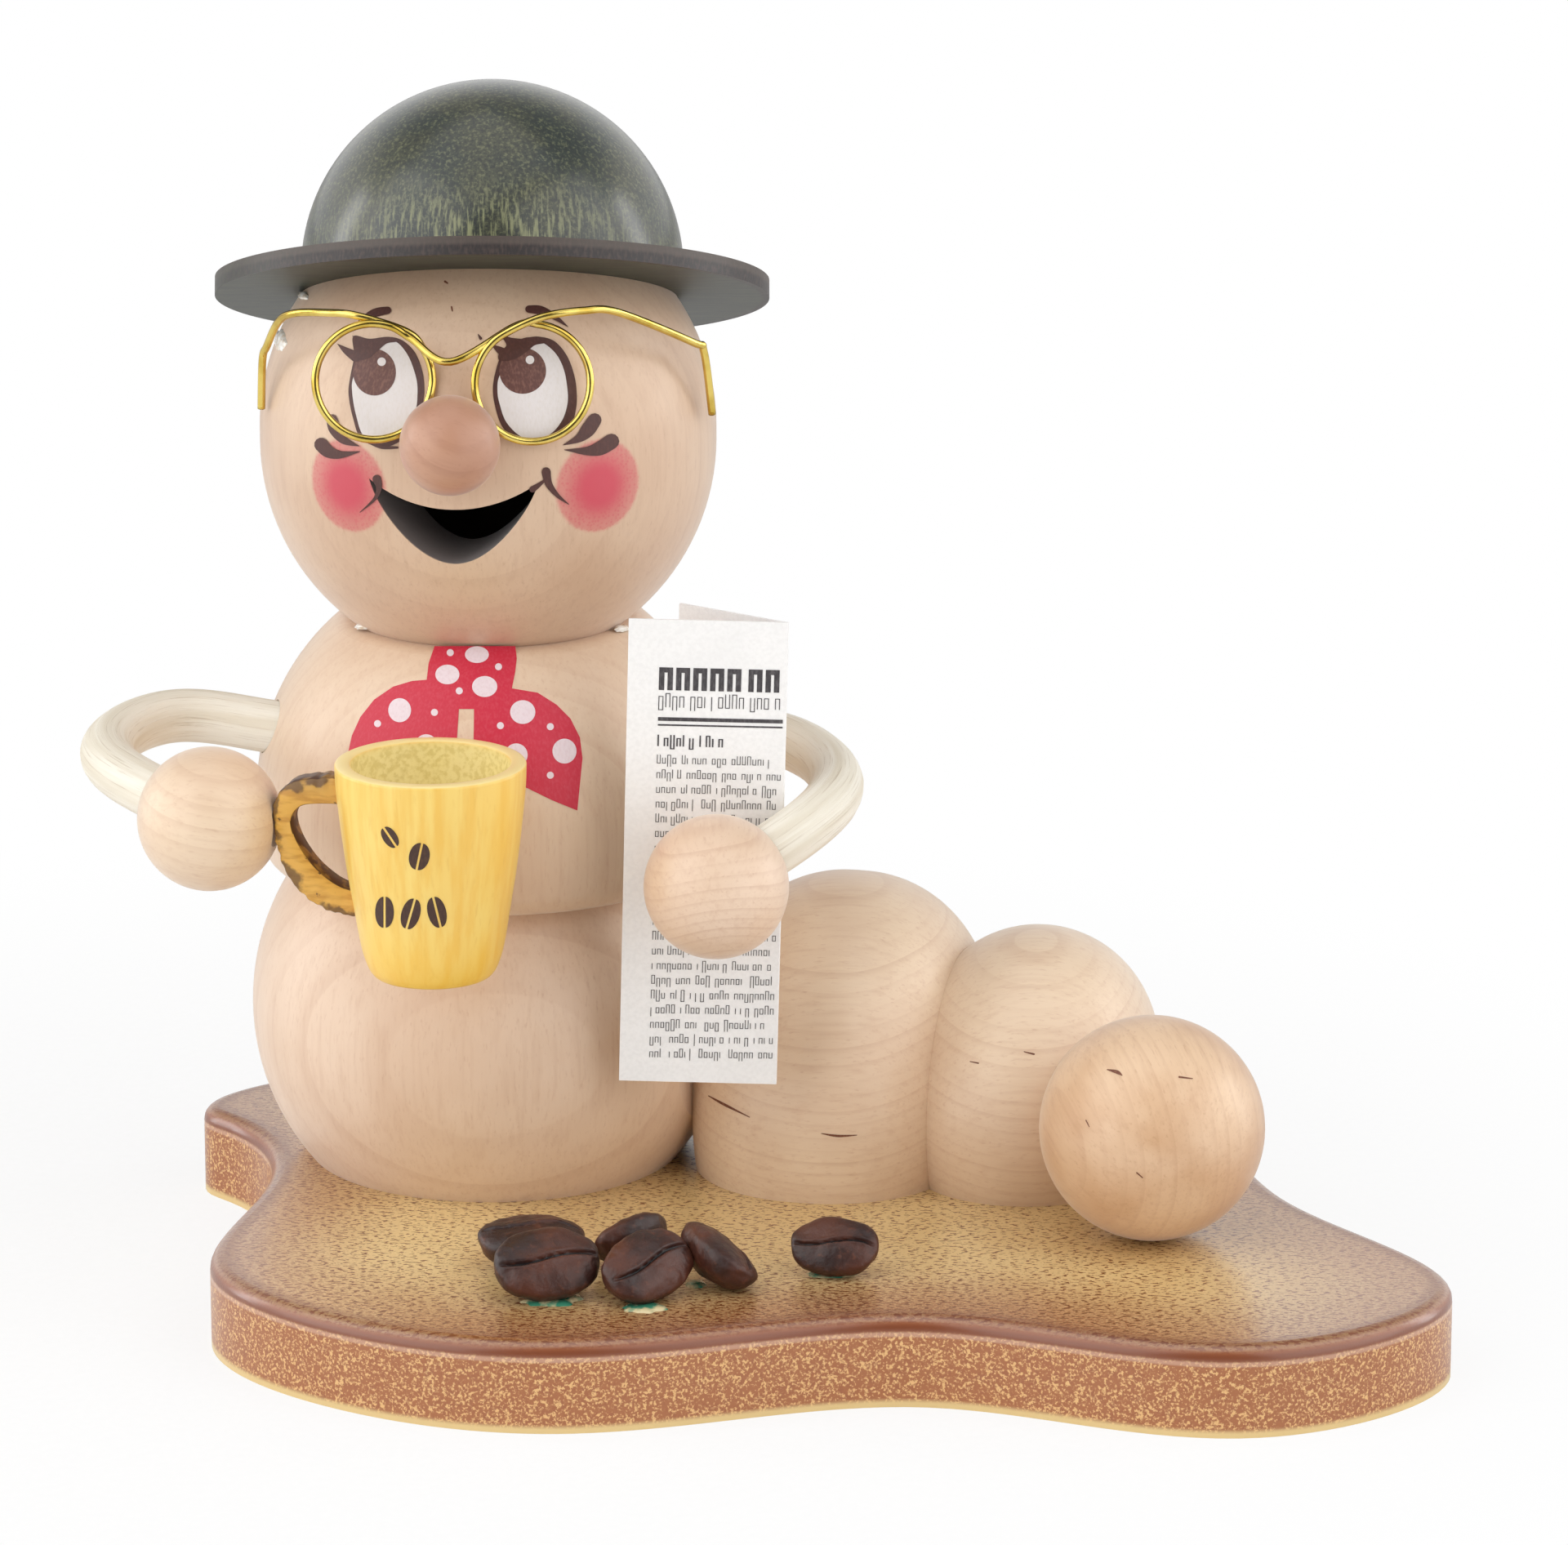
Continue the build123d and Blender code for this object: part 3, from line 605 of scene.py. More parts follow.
def make_face_print():
    dark = ink("face_line_ink", line_ink, line_thin)
    brown = ink("iris_ink", iris_ink, iris_thin, iris_speckle_share)
    white = ink("eye_white_ink", white_ink, white_thin)
    lids = [smooth(lid, True) for lid in (left_lid, right_lid)]
    sheets = [
        ("eye_rims", dark, [smooth(rim, True) for rim in (left_eye_rim, right_eye_rim)]),
        ("eye_whites", white, [smooth(rim, True) for rim in (left_eye_white, right_eye_white)]),
        ("irises", brown, [oval(*row) for row in irises]),
        ("face_lines", dark, lids + [stroke(*row) for row in face_strokes]),
        ("eye_glints", white, [oval(*row) for row in glints]),
    ]
    for layer, (name, material, outlines) in enumerate(sheets):
        lay_print(name, outlines, head_ball, material, upper_body, layer)


# Bow print, in pixels
bow_outline = [(532.1, 791.5), (524.9, 812.6), (522.6, 832.6), (504.7, 834.1), (481.6, 841), (458.4, 856.8),
               (441.6, 877.9), (431, 901), (426.8, 920), (427, 950), (431, 984), (470, 970), (510, 955),
               (555, 938), (559.4, 907.3), (562, 868.4), (580.5, 868.4), (580, 907.3), (584, 938),
               (645.7, 965.2), (676, 980), (706.8, 992.6), (713.1, 928.4), (709.9, 903.1), (698.3, 880),
               (681.5, 863.1), (658.3, 848.4), (626.8, 843.1), (630.8, 823.1), (632.7, 806.3), (631, 791.5)]
bow_big_dots = [
    ((584, 802), 14.6, 10.2), ((547.9, 826.3), 14.7, 12), ((593.5, 841), 15.4, 12.8),
    ((489.6, 869.9), 13.9, 14.7), ((522, 913.5), 14, 14.2), ((640, 872.2), 15.4, 14.5),
    ((691, 919.9), 14.7, 15.2), ((632, 924.5), 14, 14), ((458, 945), 12.5, 14),
]
bow_small_dots = [
    (551.4, 799.6), (610.4, 816.8), (562.4, 846.3), (462.6, 886.3), (532.1, 872.6), (612.7, 888.8),
    (673.7, 890), (673.7, 949.4), (490, 926), (605, 944),
]
bow_small_radius = 4.3
bow_red = (205, 32, 62)
bow_red_thin = (212, 74, 92)
dot_white = (236, 220, 226)
dot_thin = (224, 200, 206)


def make_bow_print():
    red = ink("bow_red_ink", bow_red, bow_red_thin)
    lay_print("bow_red", [bow_outline], torso_ball, red, upper_body)
    dots = bow_big_dots + [(place, bow_small_radius, bow_small_radius) for place in bow_small_dots]
    white = ink("bow_dot_ink", dot_white, dot_thin)
    lay_print("bow_dots", [oval(*dot) for dot in dots], torso_ball, white, upper_body, 1)


# Mug print: two loose coffee beans over a row of three, in pixels; centre, half sizes and lean
mug_beans = [((477.6, 1025.2), 8.6, 14, -34), ((513.5, 1048.8), 12.6, 16.6, 12), ((471, 1117), 11.4, 19, 0),
             ((503, 1119), 11.4, 19, 16), ((535, 1117), 11.4, 19, -14)]
mug_bean_slit = 1.4
mug_bean_steps = 16
mug_ink = (62, 34, 24)
mug_ink_thin = (92, 62, 36)


def bean_half(side, centre, half_width, half_height, lean):
    """Half of an oval that is parted by a slit along its length."""
    points = []
    for step in range(mug_bean_steps + 1):
        angle = pi * step / mug_bean_steps - pi / 2
        x = side * (mug_bean_slit + (half_width - mug_bean_slit) * cos(angle))
        points.append(Vector(centre) + turned(x, half_height * sin(angle), radians(lean)))
    return points


def make_mug_print(mug):
    halves = [bean_half(side, *bean) for bean in mug_beans for side in (-1, 1)]
    lay_print("mug_print", halves, Faces(mug), ink("mug_ink", mug_ink, mug_ink_thin), upper_body)


# Newspaper print: rows of small upright marks and two rules. Levels are shares of the leaf's height.
# A row's marks have step, width, thick and thin stroke, and forms.
paper_corners = ((771, 757), (965, 762), (948, 1327), (757, 1325))
print_left_share = 0.195
print_right_share = 0.985
heading_right_share = 0.62
masthead_shares = (0.104, 0.153)
subtitle_shares = (0.166, 0.190)
rule_shares = ((0.2115, 0.2195), (0.2265, 0.2300))
heading_shares = (0.2560, 0.2740)
first_line_share = 0.2990
line_step_share = 0.0317
line_count = 21
mark_height_share = 0.0125
tall_mark_share = 0.0065
group_gap_share = 0.026
group_lengths = (3, 4, 5, 6, 8)
rises = (0, 0, 0, 1)
drops = (0, 0, 0, 0, 1)
plain_forms = ("stem", "arch", "arch", "bowl", "box")
bold_forms = ("arch", "bowl", "box", "arch")
small_marks = (0.0330, 0.0230, 0.0046, 0.0013, plain_forms)
subtitle_marks = (0.0440, 0.0310, 0.0055, 0.0017, plain_forms)
heading_marks = (0.0400, 0.0300, 0.0095, 0.0022, plain_forms)
masthead_marks = (0.1080, 0.0880, 0.0340, 0.0110, bold_forms)
print_seed = 7
paper_ink = (60, 56, 60)
paper_ink_thin = (112, 108, 110)


def paper_pixel(across, down):
    """A pixel on the front leaf, from shares of its width and height."""
    top_left, top_right, low_right, low_left = [Vector(corner) for corner in paper_corners]
    return top_left.lerp(top_right, across).lerp(low_left.lerp(low_right, across), down)


def paper_bar(left, right, top, bottom):
    return [paper_pixel(*corner) for corner in ((left, top), (right, top), (right, bottom), (left, bottom))]


def mark_bars(form, left, right, top, bottom, thick, thin):
    """One mark: one or two upright strokes, some of them joined by a thin bar."""
    bars = [paper_bar(left, left + thick, top, bottom)]
    if form != "stem":
        bars.append(paper_bar(right - thick, right, top, bottom))
    if form in ("arch", "box"):
        bars.append(paper_bar(left + thick, right - thick, top, top + thin))
    if form in ("bowl", "box"):
        bars.append(paper_bar(left + thick, right - thick, bottom - thin, bottom))
    return bars


def mark_row(dice, top, bottom, marks, tall, right=print_right_share):
    """One row of groups of marks, some of the marks taller."""
    step, width, thick, thin, forms = marks
    left = print_left_share
    bars = []
    while left < right - step:
        for number in range(dice.choice(group_lengths)):
            if left > right - width:
                break
            rise = tall * dice.choice(rises)
            drop = tall * dice.choice(drops)
            form = dice.choice(forms)
            bars += mark_bars(form, left, left + width, top - rise, bottom + drop, thick, thin)
            left += step
        left += group_gap_share
    return bars


def make_paper_print():
    dice = random.Random(print_seed)
    bars = mark_row(dice, *masthead_shares, masthead_marks, 0)
    bars += mark_row(dice, *subtitle_shares, subtitle_marks, tall_mark_share)
    bars += [paper_bar(print_left_share, print_right_share, *shares) for shares in rule_shares]
    bars += mark_row(dice, *heading_shares, heading_marks, tall_mark_share, heading_right_share)
    for number in range(line_count):
        top = first_line_share + line_step_share * number
        bars += mark_row(dice, top, top + mark_height_share, small_marks, tall_mark_share)
    carrier = Faces(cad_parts["newspaper"])
    material = ink("paper_ink", paper_ink, paper_ink_thin)
    lay_print("newspaper_print", bars, carrier, material, upper_body)


# Small marks in the wood, in pixels
tail_marks = [
    ([(868, 1342), (888, 1353), (918, 1368)], [0.6, 1.6, 0.5]),
    ([(1006, 1388), (1026, 1391), (1049, 1390)], [0.5, 1.5, 0.5]),
    ([(1254, 1288), (1266, 1291)], [0.5, 1.1]),
    ([(1188, 1300), (1198, 1302)], [0.5, 0.9]),
]
tail_ball_marks = [
    ([(1356, 1310), (1368, 1313), (1374, 1317)], [0.6, 2.2, 0.6]),
    ([(1444, 1319), (1460, 1321)], [1.2, 0.6]),
    ([(1392, 1436), (1399, 1442)], [0.8, 0.6]),
    ([(1330, 1372), (1334, 1380)], [0.8, 0.5]),
]
head_marks = [([(545, 345), (548, 347)], [1.4, 1]), ([(553, 376), (554, 381)], [1, 0.8])]
mark_brown = (112, 62, 42)
mark_thin = (160, 106, 76)


def make_wood_marks():
    material = ink("wood_marks", mark_brown, mark_thin)
    for name, rows, carrier, body, slot in (
            ("tail_marks", tail_marks, Faces(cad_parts["tail_segments"]), base_body, "tail_wood"),
            ("tail_ball_marks", tail_ball_marks, tail_end_ball, base_body, "tail_ball_wood"),
            ("head_marks", head_marks, head_ball, upper_body, "head_wood")):
        lay_print(name, [stroke(*row) for row in rows], carrier, material, body)


# Head: cheeks sprayed in soft rounds, charred walls inside the mouth, and painted shade, near black, deep
# inside it
cheek_pixels = ((423.6, 595.7), (734.3, 595.7))
cheek_radius = 0.0052
cheek_red = (200, 52, 72)
cheek_full = (1.0, 0.30)
cheek_edge = (1.05, 0.92)
cheek_edge_share = 0.70
cheek_dot_scale = 2600.0
cheek_dot_window = (0.15, 0.55)
char_depth = (0.00015, 0.0004)
# Painted shade: the wood deep inside the mouth is painted near black
mouth_shade_depth = (0.0112, 0.0124)
char_colour = (100, 80, 74)
mouth_shade_colour = (26, 23, 24)


def head_material():
    shader = Shader("head_maple")
    tone, fibres = wood_tone(shader, head_look)
    cells = {"Vector": shader.place, "Scale": cheek_dot_scale}
    dots = shader.window(shader.add("ShaderNodeTexVoronoi", cells, "Distance"), *cheek_dot_window)
    for pixel in cheek_pixels:
        centre = head_ball.touch(pixel)[0] - figure_axis
        reach = shader.length(shader.vector("SUBTRACT", shader.place, tuple(centre))) / cheek_radius
        part = shader.window(reach, *cheek_full, cheek_edge_share) * shader.window(reach, *cheek_edge)
        soft = (1 - part) * (dots * cheek_edge_share)
        tone = shader.mix(part * (1 - soft), tone, cheek_red)
    x, y, z = shader.parts(shader.place)
    level = shader.math("MINIMUM", shader.most(z, head_low_level), head_high_level)
    depth = head_radius - shader.length(shader.joined(x, y, z - level))
    tone = shader.laid(tone, char_colour, depth, char_depth)
    # Deep inside the mouth the wood is painted near black: painted shade in the hollow
    return finish_wood(shader, shader.laid(tone, mouth_shade_colour, depth, mouth_shade_depth), fibres)


# Hat
hat_tilt = 20.5
hat_seat_radius = 0.0207
crown_green = (24, 37, 30)
crown_olive = (52, 55, 36)
crown_dark = (14, 20, 18)
crown_pale = (142, 144, 102)
crown_coats = [((110.0, 4.0, 0.6), even, (0.40, 0.62), 1.0, crown_olive),
               ((2400.0, 4.0, 0.65), even, (0.50, 0.66), 0.34, crown_pale)]
crown_dark_window = (0.50, 0.36)
crown_dark_share = 0.78
crown_streaks = (2600.0, 4.0, 0.6)
crown_streak_stretch = (1, 1, 0.09)
crown_streak_window = (0.47, 0.62)
crown_streak_share = 0.95
crown_low_band = (0.0120, 0.0035)
crown_front_half_width = (0.0190, 0.0040)
crown_least_low_share = 0.25
stain_roughness = 0.5
stain_finish = {"Coat Weight": 0.9, "Coat Roughness": 0.24, "Coat IOR": 1.5, "Sheen Weight": 0.25,
                "Sheen Roughness": 0.35}
brim_radius = 0.0304
brim_green = (62, 70, 54)
brim_dark = (28, 33, 29)
brim_coats = [((1500.0, 5.0, 0.65), (0.08, 1, 1), (0.43, 0.60), 1.0, brim_green)]
brim_edge_depth = (0.0006, 0.0002)
burnt_edge = (32, 24, 23)
burnt_light = (66, 51, 46)
burnt_top = (88, 76, 68)
tick_texture = (3000.0, 4.0)
tick_height_share = 0.40
tick_window = (0.40, 0.72)
layer_texture = (1400.0, 1.0)
layer_window = (0.45, 0.6)
layer_share = 0.35
lip_levels = (0.0009, 0.0014)
lip_share = 0.6
brim_rough_share = 0.2
brim_least_rough = 0.45
brim_finish = {"Coat Weight": 0.3, "Coat Roughness": 0.4}


def hat_place(shader):
    """Coordinates along the hat's own axis, with the brim's underside at Z = 0."""
    seat = sqrt(head_radius ** 2 - hat_seat_radius ** 2)
    tilt = radians(hat_tilt)
    origin = (0, seat * sin(tilt), head_high_level + seat * cos(tilt))
    x, y, z = shader.parts(shader.vector("SUBTRACT", shader.place, origin))
    return x, y * cos(tilt) - z * sin(tilt), y * sin(tilt) + z * cos(tilt)


def crown_material():
    shader = Shader("stained_crown")
    x, ahead, up = hat_place(shader)
    local = shader.joined(x, ahead, up)
    tone, (blots, specks) = shader.coated(local, crown_green, crown_coats)
    tone = shader.laid(tone, crown_dark, specks, crown_dark_window, crown_dark_share)
    front = shader.window(shader.math("ABSOLUTE", x), *crown_front_half_width, crown_least_low_share)
    worn = shader.window(up, *crown_low_band) * front * crown_streak_share
    streaks = shader.noise(shader.mapped(local, scale=crown_streak_stretch), *crown_streaks)
    tone = shader.laid(tone, crown_pale, streaks, crown_streak_window, worn)
    rough = specks * wood_rough_share + stain_roughness
    return shader.surface(tone, rough, specks, wood_relief, stain_finish)


def brim_material():
    shader = Shader("stained_brim")
    x, ahead, up = hat_place(shader)
    tone, (face,) = shader.coated(shader.joined(x, ahead, up), brim_dark, brim_coats)
    turn = shader.math("ARCTAN2", ahead, x) * brim_radius
    ticks = shader.noise(shader.joined(turn, 0.0, up * tick_height_share), *tick_texture)
    layers = shader.noise(shader.joined(0.0, 0.0, up), *layer_texture)
    burnt = shader.laid(burnt_edge, burnt_light, ticks, tick_window)
    burnt = shader.laid(burnt, crown_dark, layers, layer_window, layer_share)
    burnt = shader.laid(burnt, burnt_top, up, lip_levels, lip_share)
    depth = brim_radius - shader.length(shader.joined(x, ahead, 0.0))
    tone = shader.laid(tone, burnt, depth, brim_edge_depth)
    return shader.surface(tone, face * brim_rough_share + brim_least_rough, ticks, wood_relief, brim_finish)


# Mug; its profile's rows are radius and height in millimetres
mug_place = (-0.0051, -0.035, 0.0407)
mug_foot = [(5.90, 0.0), (6.25, 0.05)]
mug_side = [(6.50, 0.25), (7.00, 1.10), (7.66, 3.30), (8.47, 8.10), (9.10, 12.00), (9.68, 16.60),
            (10.08, 20.40), (10.20, 23.10)]
mug_rim = [(10.10, 23.30), (9.90, 23.40), (8.80, 23.40), (8.58, 23.30), (8.50, 23.10), (8.22, 18.60),
           (8.05, 18.42), (7.80, 18.40)]
mug_steps = 96
mug_light = (247, 214, 118)
mug_stain = (240, 188, 74)
mug_coats = [((700.0, 5.0), (1, 1, 0.04), (0.38, 0.68), 0.7, mug_stain),
             ((160.0, 2.0), (1, 1, 0.15), (0.45, 0.7), 0.35, mug_stain),
             ((2100.0, 2.0), (1, 1, 0.2), (0.55, 0.78), 0.25, (222, 170, 66))]
mug_low = (246, 192, 52)
mug_low_levels = (0.009, 0.0)
mug_low_share = 0.5
rim_pale = (246, 224, 156)
rim_levels = (0.0232, 0.02335)
recess_light = (236, 218, 148)
recess_coats = [((1800.0, 4.0), even, (0.4, 0.65), 1.0, (220, 199, 124))]
recess_reach = (0.0086, 0.00845)
recess_levels = (0.0181, 0.0183)
recess_rough_share = 0.3
mug_roughness = 0.42
mug_relief = 0.00006
mug_finish = {"Coat Weight": 0.25, "Coat Roughness": 0.3}


def mug_material():
    shader = Shader("stained_mug")
    local = shader.vector("SUBTRACT", shader.place, mug_place)
    x, y, z = shader.parts(local)
    tone, textures = shader.coated(local, mug_light, mug_coats)
    tone = shader.laid(tone, mug_low, z, mug_low_levels, mug_low_share)
    tone = shader.laid(tone, rim_pale, z, rim_levels)
    reach = shader.length(shader.joined(x, y, 0.0))
    inside = shader.window(reach, *recess_reach) * shader.window(z, *recess_levels)
    floor, rough_wood = shader.coated(local, recess_light, recess_coats)
    relief = shader.mix(inside, textures[0], rough_wood[0])
    rough = inside * recess_rough_share + mug_roughness
    return shader.surface(shader.mix(inside, tone, floor), rough, relief, mug_relief, mug_finish)


def make_mug():
    """The turned mug: its sides draw in towards the foot along a soft curve."""
    points = []
    for radius, height in [*mug_foot, *smooth(mug_side), *mug_rim]:
        for step in range(mug_steps):
            spot = Vector((*turned(radius, 0, tau * step / mug_steps), height)) * millimetre
            points.append(figure(Vector(mug_place) + spot))
    faces = ring_faces(len(points) // mug_steps, mug_steps)
    piece = add_piece("turned_mug", points, faces, mug_material(), upper_body, True)
    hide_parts("mug")
    return piece


# Handle; its outline's rows are reach and height in millimetres
handle_outer = [(9.2, 21.5), (12.0, 21.3), (15.0, 20.6), (16.75, 18.6), (16.9, 16.6), (16.6, 13.6),
                (15.5, 10.4), (13.4, 8.0), (10.6, 6.6), (7.6, 6.2)]
handle_inner = [(9.2, 18.6), (12.0, 18.5), (13.9, 18.15), (14.9, 17.0), (14.9, 15.6), (14.2, 13.8),
                (12.9, 11.9), (11.3, 10.4), (9.6, 9.4), (7.6, 8.9)]
handle_turn = 11.0
handle_thickness = 0.003
handle_chamfer = 0.00015
handle_steps = 12
handle_rough = 0.22
handle_rough_step = 0.37
inner_char_share = 0.35
handle_light = (228, 176, 78)
handle_coats = [((1500.0, 4.0), (0.1, 1, 1), (0.4, 0.7), 1.0, (202, 146, 56))]
handle_olive = (146, 112, 62)
handle_burnt = (74, 44, 28)
patch_texture = (420.0, 4.0)
patch_window = (0.42, 0.52)
patch_share = 0.35
facing_window = (0.75, 0.45)
ragged_share = 0.9
ragged_window = (0.86, 0.98)
ragged_char_share = 0.75
scorch_texture = (900.0, 4.0)
scorch_window = (0.64, 0.72)
worn_levels = (0.0185, 0.0215)
worn_patch_share = 1.2
worn_least_share = -0.1
handle_roughness = 0.5
handle_relief = 0.00008
handle_finish = {"Coat Weight": 0.2}


def handle_directions():
    """The level directions along the handle's plate and square to it."""
    turn = radians(180 - handle_turn)
    return Vector((cos(turn), sin(turn), 0)), Vector((sin(turn), -cos(turn), 0))


def make_handle():
    """The plywood handle, its rough cut edges burnt; it runs a little way into the mug's wall."""
    away, across = handle_directions()
    half = handle_thickness / 2
    flat = half - handle_chamfer
    points = []
    chars = []
    pairs = zip(smooth(handle_outer, steps=handle_steps), smooth(handle_inner, steps=handle_steps))
    for index, (outer, inner) in enumerate(pairs):
        rough = noise.noise(Vector((index * handle_rough_step, 0, 0))) * handle_rough
        width = (outer - inner).normalized()
        outer = (outer + width * rough) * millimetre
        inner = inner * millimetre
        edge = width * handle_chamfer
        section = [(outer, flat), (outer - edge, half), (inner + edge, half), (inner, flat),
                   (inner, -flat), (inner + edge, -half), (outer - edge, -half), (outer, -flat)]
        for spot, side in section:
            points.append(figure(Vector(mug_place) + away * spot.x + across * side + Vector((0, 0, spot.y))))
        chars += [1.0, 1.0, *[inner_char_share] * 4, 1.0, 1.0]
    faces = ring_faces(len(points) // len(section), len(section))
    piece = add_piece("plywood_handle", points, faces, handle_material(), upper_body, True,
                      ("char", chars))
    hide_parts("mug_handle")


def handle_material():
    shader = Shader("burnt_handle")
    normal = shader.add("ShaderNodeNewGeometry", output="Normal")
    square = tuple(handle_directions()[1])
    facing = shader.math("ABSOLUTE", shader.vector("DOT_PRODUCT", normal, square, "Value"))
    patches = shader.noise(shader.place, *patch_texture)
    char = shader.add("ShaderNodeAttribute", output="Fac", attribute_name="char")
    ragged = shader.window(char + (patches - middle_share) * ragged_share, *ragged_window) * ragged_char_share
    edge = shader.most(shader.window(facing, *facing_window), ragged)
    burnt = edge * shader.window(patches, *patch_window, 1 - patch_share)
    scorch = shader.window(shader.noise(shader.place, *scorch_texture), *scorch_window)
    tone, textures = shader.coated(shader.place, handle_light, handle_coats)
    height = shader.parts(shader.place)[2] - mug_place[2]
    tone = shader.laid(tone, handle_olive, height, worn_levels, patches * worn_patch_share + worn_least_share)
    tone = shader.mix(shader.most(burnt, scorch), tone, handle_burnt)
    return shader.surface(tone, handle_roughness, patches, handle_relief, handle_finish)


# Materials of coats alone: first colour, coats, which coat's texture is the relief, roughness,
# the relief's height and finish
paper_values = ((249, 248, 247), [((2600.0, 4.0), even, (0.35, 0.7), 1.0, (243, 242, 241)),
                                  ((120.0, 2.0), even, (0.4, 0.7), 0.3, (238, 237, 236))],
                0, 0.75, 0.00001, {})
green_glue_values = ((62, 140, 112), [((500.0, 3.0), even, (0.44, 0.62), 1.0, (222, 206, 160))],
                     0, 0.22, 0.00004, {"Coat Weight": 0.5})
pale_glue_values = ((236, 232, 224), [((900.0, 3.0), even, (0.44, 0.62), 1.0, (214, 196, 172))],
                    0, 0.22, 0.00004, {"Coat Weight": 0.5})
floor_values = ((247, 247, 246), [((900.0, 3.0), even, (0.3, 0.7), 1.0, (252, 252, 252))],
                0, 0.85, 0.00001, {})
rattan_values = ((244, 238, 224), [((9.0, 3.0), (1, 0.05, 1), (0.38, 0.64), 1.0, (228, 218, 198)),
                                   ((85.0, 6.0, 0.65), (1, 0.02, 1), (0.54, 0.68), 0.55, (184, 164, 136))],
                 1, 0.55, 0.00008, {"Coat Weight": 0.15, "Coat Roughness": 0.35})


def coated_shader(name, values, coordinates=None):
    """A material of coats alone, one of whose textures is its relief too."""
    colour, coats, relief_coat, roughness, relief_height, finish = values
    shader = Shader(name)
    place = shader.add("ShaderNodeTexCoord", output=coordinates) if coordinates else shader.place
    tone, textures = shader.coated(place, colour, coats)
    shader.surface(tone, roughness, textures[relief_coat], relief_height, finish)
    return shader


# Metals: bright and dull colour, roughness and the scale of wear
brass_bright = (232, 206, 114)
plate_dull = (170, 126, 66)
wire_metal = (brass_bright, (202, 170, 74), 0.16, 300.0)
plate_metal = ((214, 170, 96), plate_dull, 0.38, 240.0)
tack_metal = (brass_bright, plate_dull, 0.3, 500.0)
screw_metal = ((214, 212, 200), (170, 166, 150), 0.3, 600.0)
wear_detail = 4.0
wear_window = (0.4, 0.68)
fine_wear_times = 6
fine_wear_detail = 3.0
metal_rough_share = 0.12
metal_relief = 0.000004
soot_coats = [((260.0, 5.0), even, (0.42, 0.62), 0.6, (60, 50, 40))]


def metal_material(name, bright, dull, roughness, wear_scale, coats=()):
    shader = Shader(name)
    wear = ((wear_scale, wear_detail), even, wear_window, 1.0, dull)
    tone, textures = shader.coated(shader.place, bright, [wear, *coats])
    fine = shader.noise(shader.place, wear_scale * fine_wear_times, fine_wear_detail)
    rough = fine * metal_rough_share + (roughness - metal_rough_share * middle_share)
    return shader.surface(tone, rough, fine, metal_relief, {"Metallic": 1.0})


# Base board: its outline's places, its round edge, and the holes for the screws' heads
base_outline_points = [
    (-0.0322, 0.0100), (-0.0260, -0.0185), (-0.0290, -0.0410), (-0.0135, -0.0596), (0.0102, -0.0662),
    (0.0475, -0.0584), (0.0820, -0.0674), (0.1034, -0.0490), (0.0885, -0.0200), (0.0800, 0.0060),
    (0.0460, 0.0270), (0.0050, 0.0275), (-0.0220, 0.0260),
]
base_edge_round = 0.0016
base_edge_steps = 6
base_curve_steps = 16
closing_points = 4
base_grid = 0.003
fill_merge = 1e-7
screw_hole_radius = 0.00335
screw_hole_depth = 0.0003
screw_hole_steps = 24
body_screw_half_spacing = 0.009
tail_turn = -15.0
tail_sideways = 0.0109
tail_screw_reaches = (0.03706, 0.05956)


def clamped_curve(points, start_slope, end_slope, steps):
    """Points on the smooth cubic through the given ones that leaves and arrives in the given directions."""
    knots = np.array(points)
    chords = np.linalg.norm(knots[1:] - knots[:-1], axis=1)
    paces = (knots[1:] - knots[:-1]) / chords[:, None]
    rows = np.eye(len(knots))
    sides = np.zeros(knots.shape)
    sides[0] = start_slope
    sides[-1] = end_slope
    for index in range(1, len(knots) - 1):
        before, after = chords[index - 1:index + 1]
        rows[index, index - 1:index + 2] = after, 2 * (before + after), before
        sides[index] = 3 * (after * paces[index - 1] + before * paces[index])
    slopes = np.linalg.solve(rows, sides)
    made = []
    for index, chord in enumerate(chords):
        ends = (knots[index], knots[index + 1], slopes[index] * chord, slopes[index + 1] * chord)
        made += [Vector(between(*ends, step / steps)) for step in range(steps)]
    return made + [Vector(points[-1])]


def closed_curve(points, steps):
    """Points on a closed cubic through the given ones; the first four set the slope where it closes."""
    start = np.array(points[:closing_points])
    chords = np.linalg.norm(start[1:] - start[:-1], axis=1)
    travelled = np.concatenate([[0], np.cumsum(chords)])
    slope = np.polyfit(travelled, start, closing_points - 1)[-2]
    return clamped_curve([*points, points[0]], slope, slope, steps)[:-1]


def inset_loop(outline, inset):
    """An anticlockwise closed outline, drawn in by an inset at each of its points."""
    made = []
    for index, point in enumerate(outline):
        ahead = outline[(index + 1) % len(outline)] - outline[index - 1]
        made.append(point + Vector((-ahead[1], ahead[0])).normalized() * inset)
    return made


def screw_holes():
    """The outlines of the four holes, two below the body and two below the tail."""
    spots = [Vector((side * body_screw_half_spacing, 0)) for side in (-1, 1)]
    spots += [turned(reach, tail_sideways, radians(tail_turn)) for reach in tail_screw_reaches]
    turns = [tau * step / screw_hole_steps for step in range(screw_hole_steps)]
    return [[spot + turned(screw_hole_radius, 0, t) for t in turns] for spot in spots]


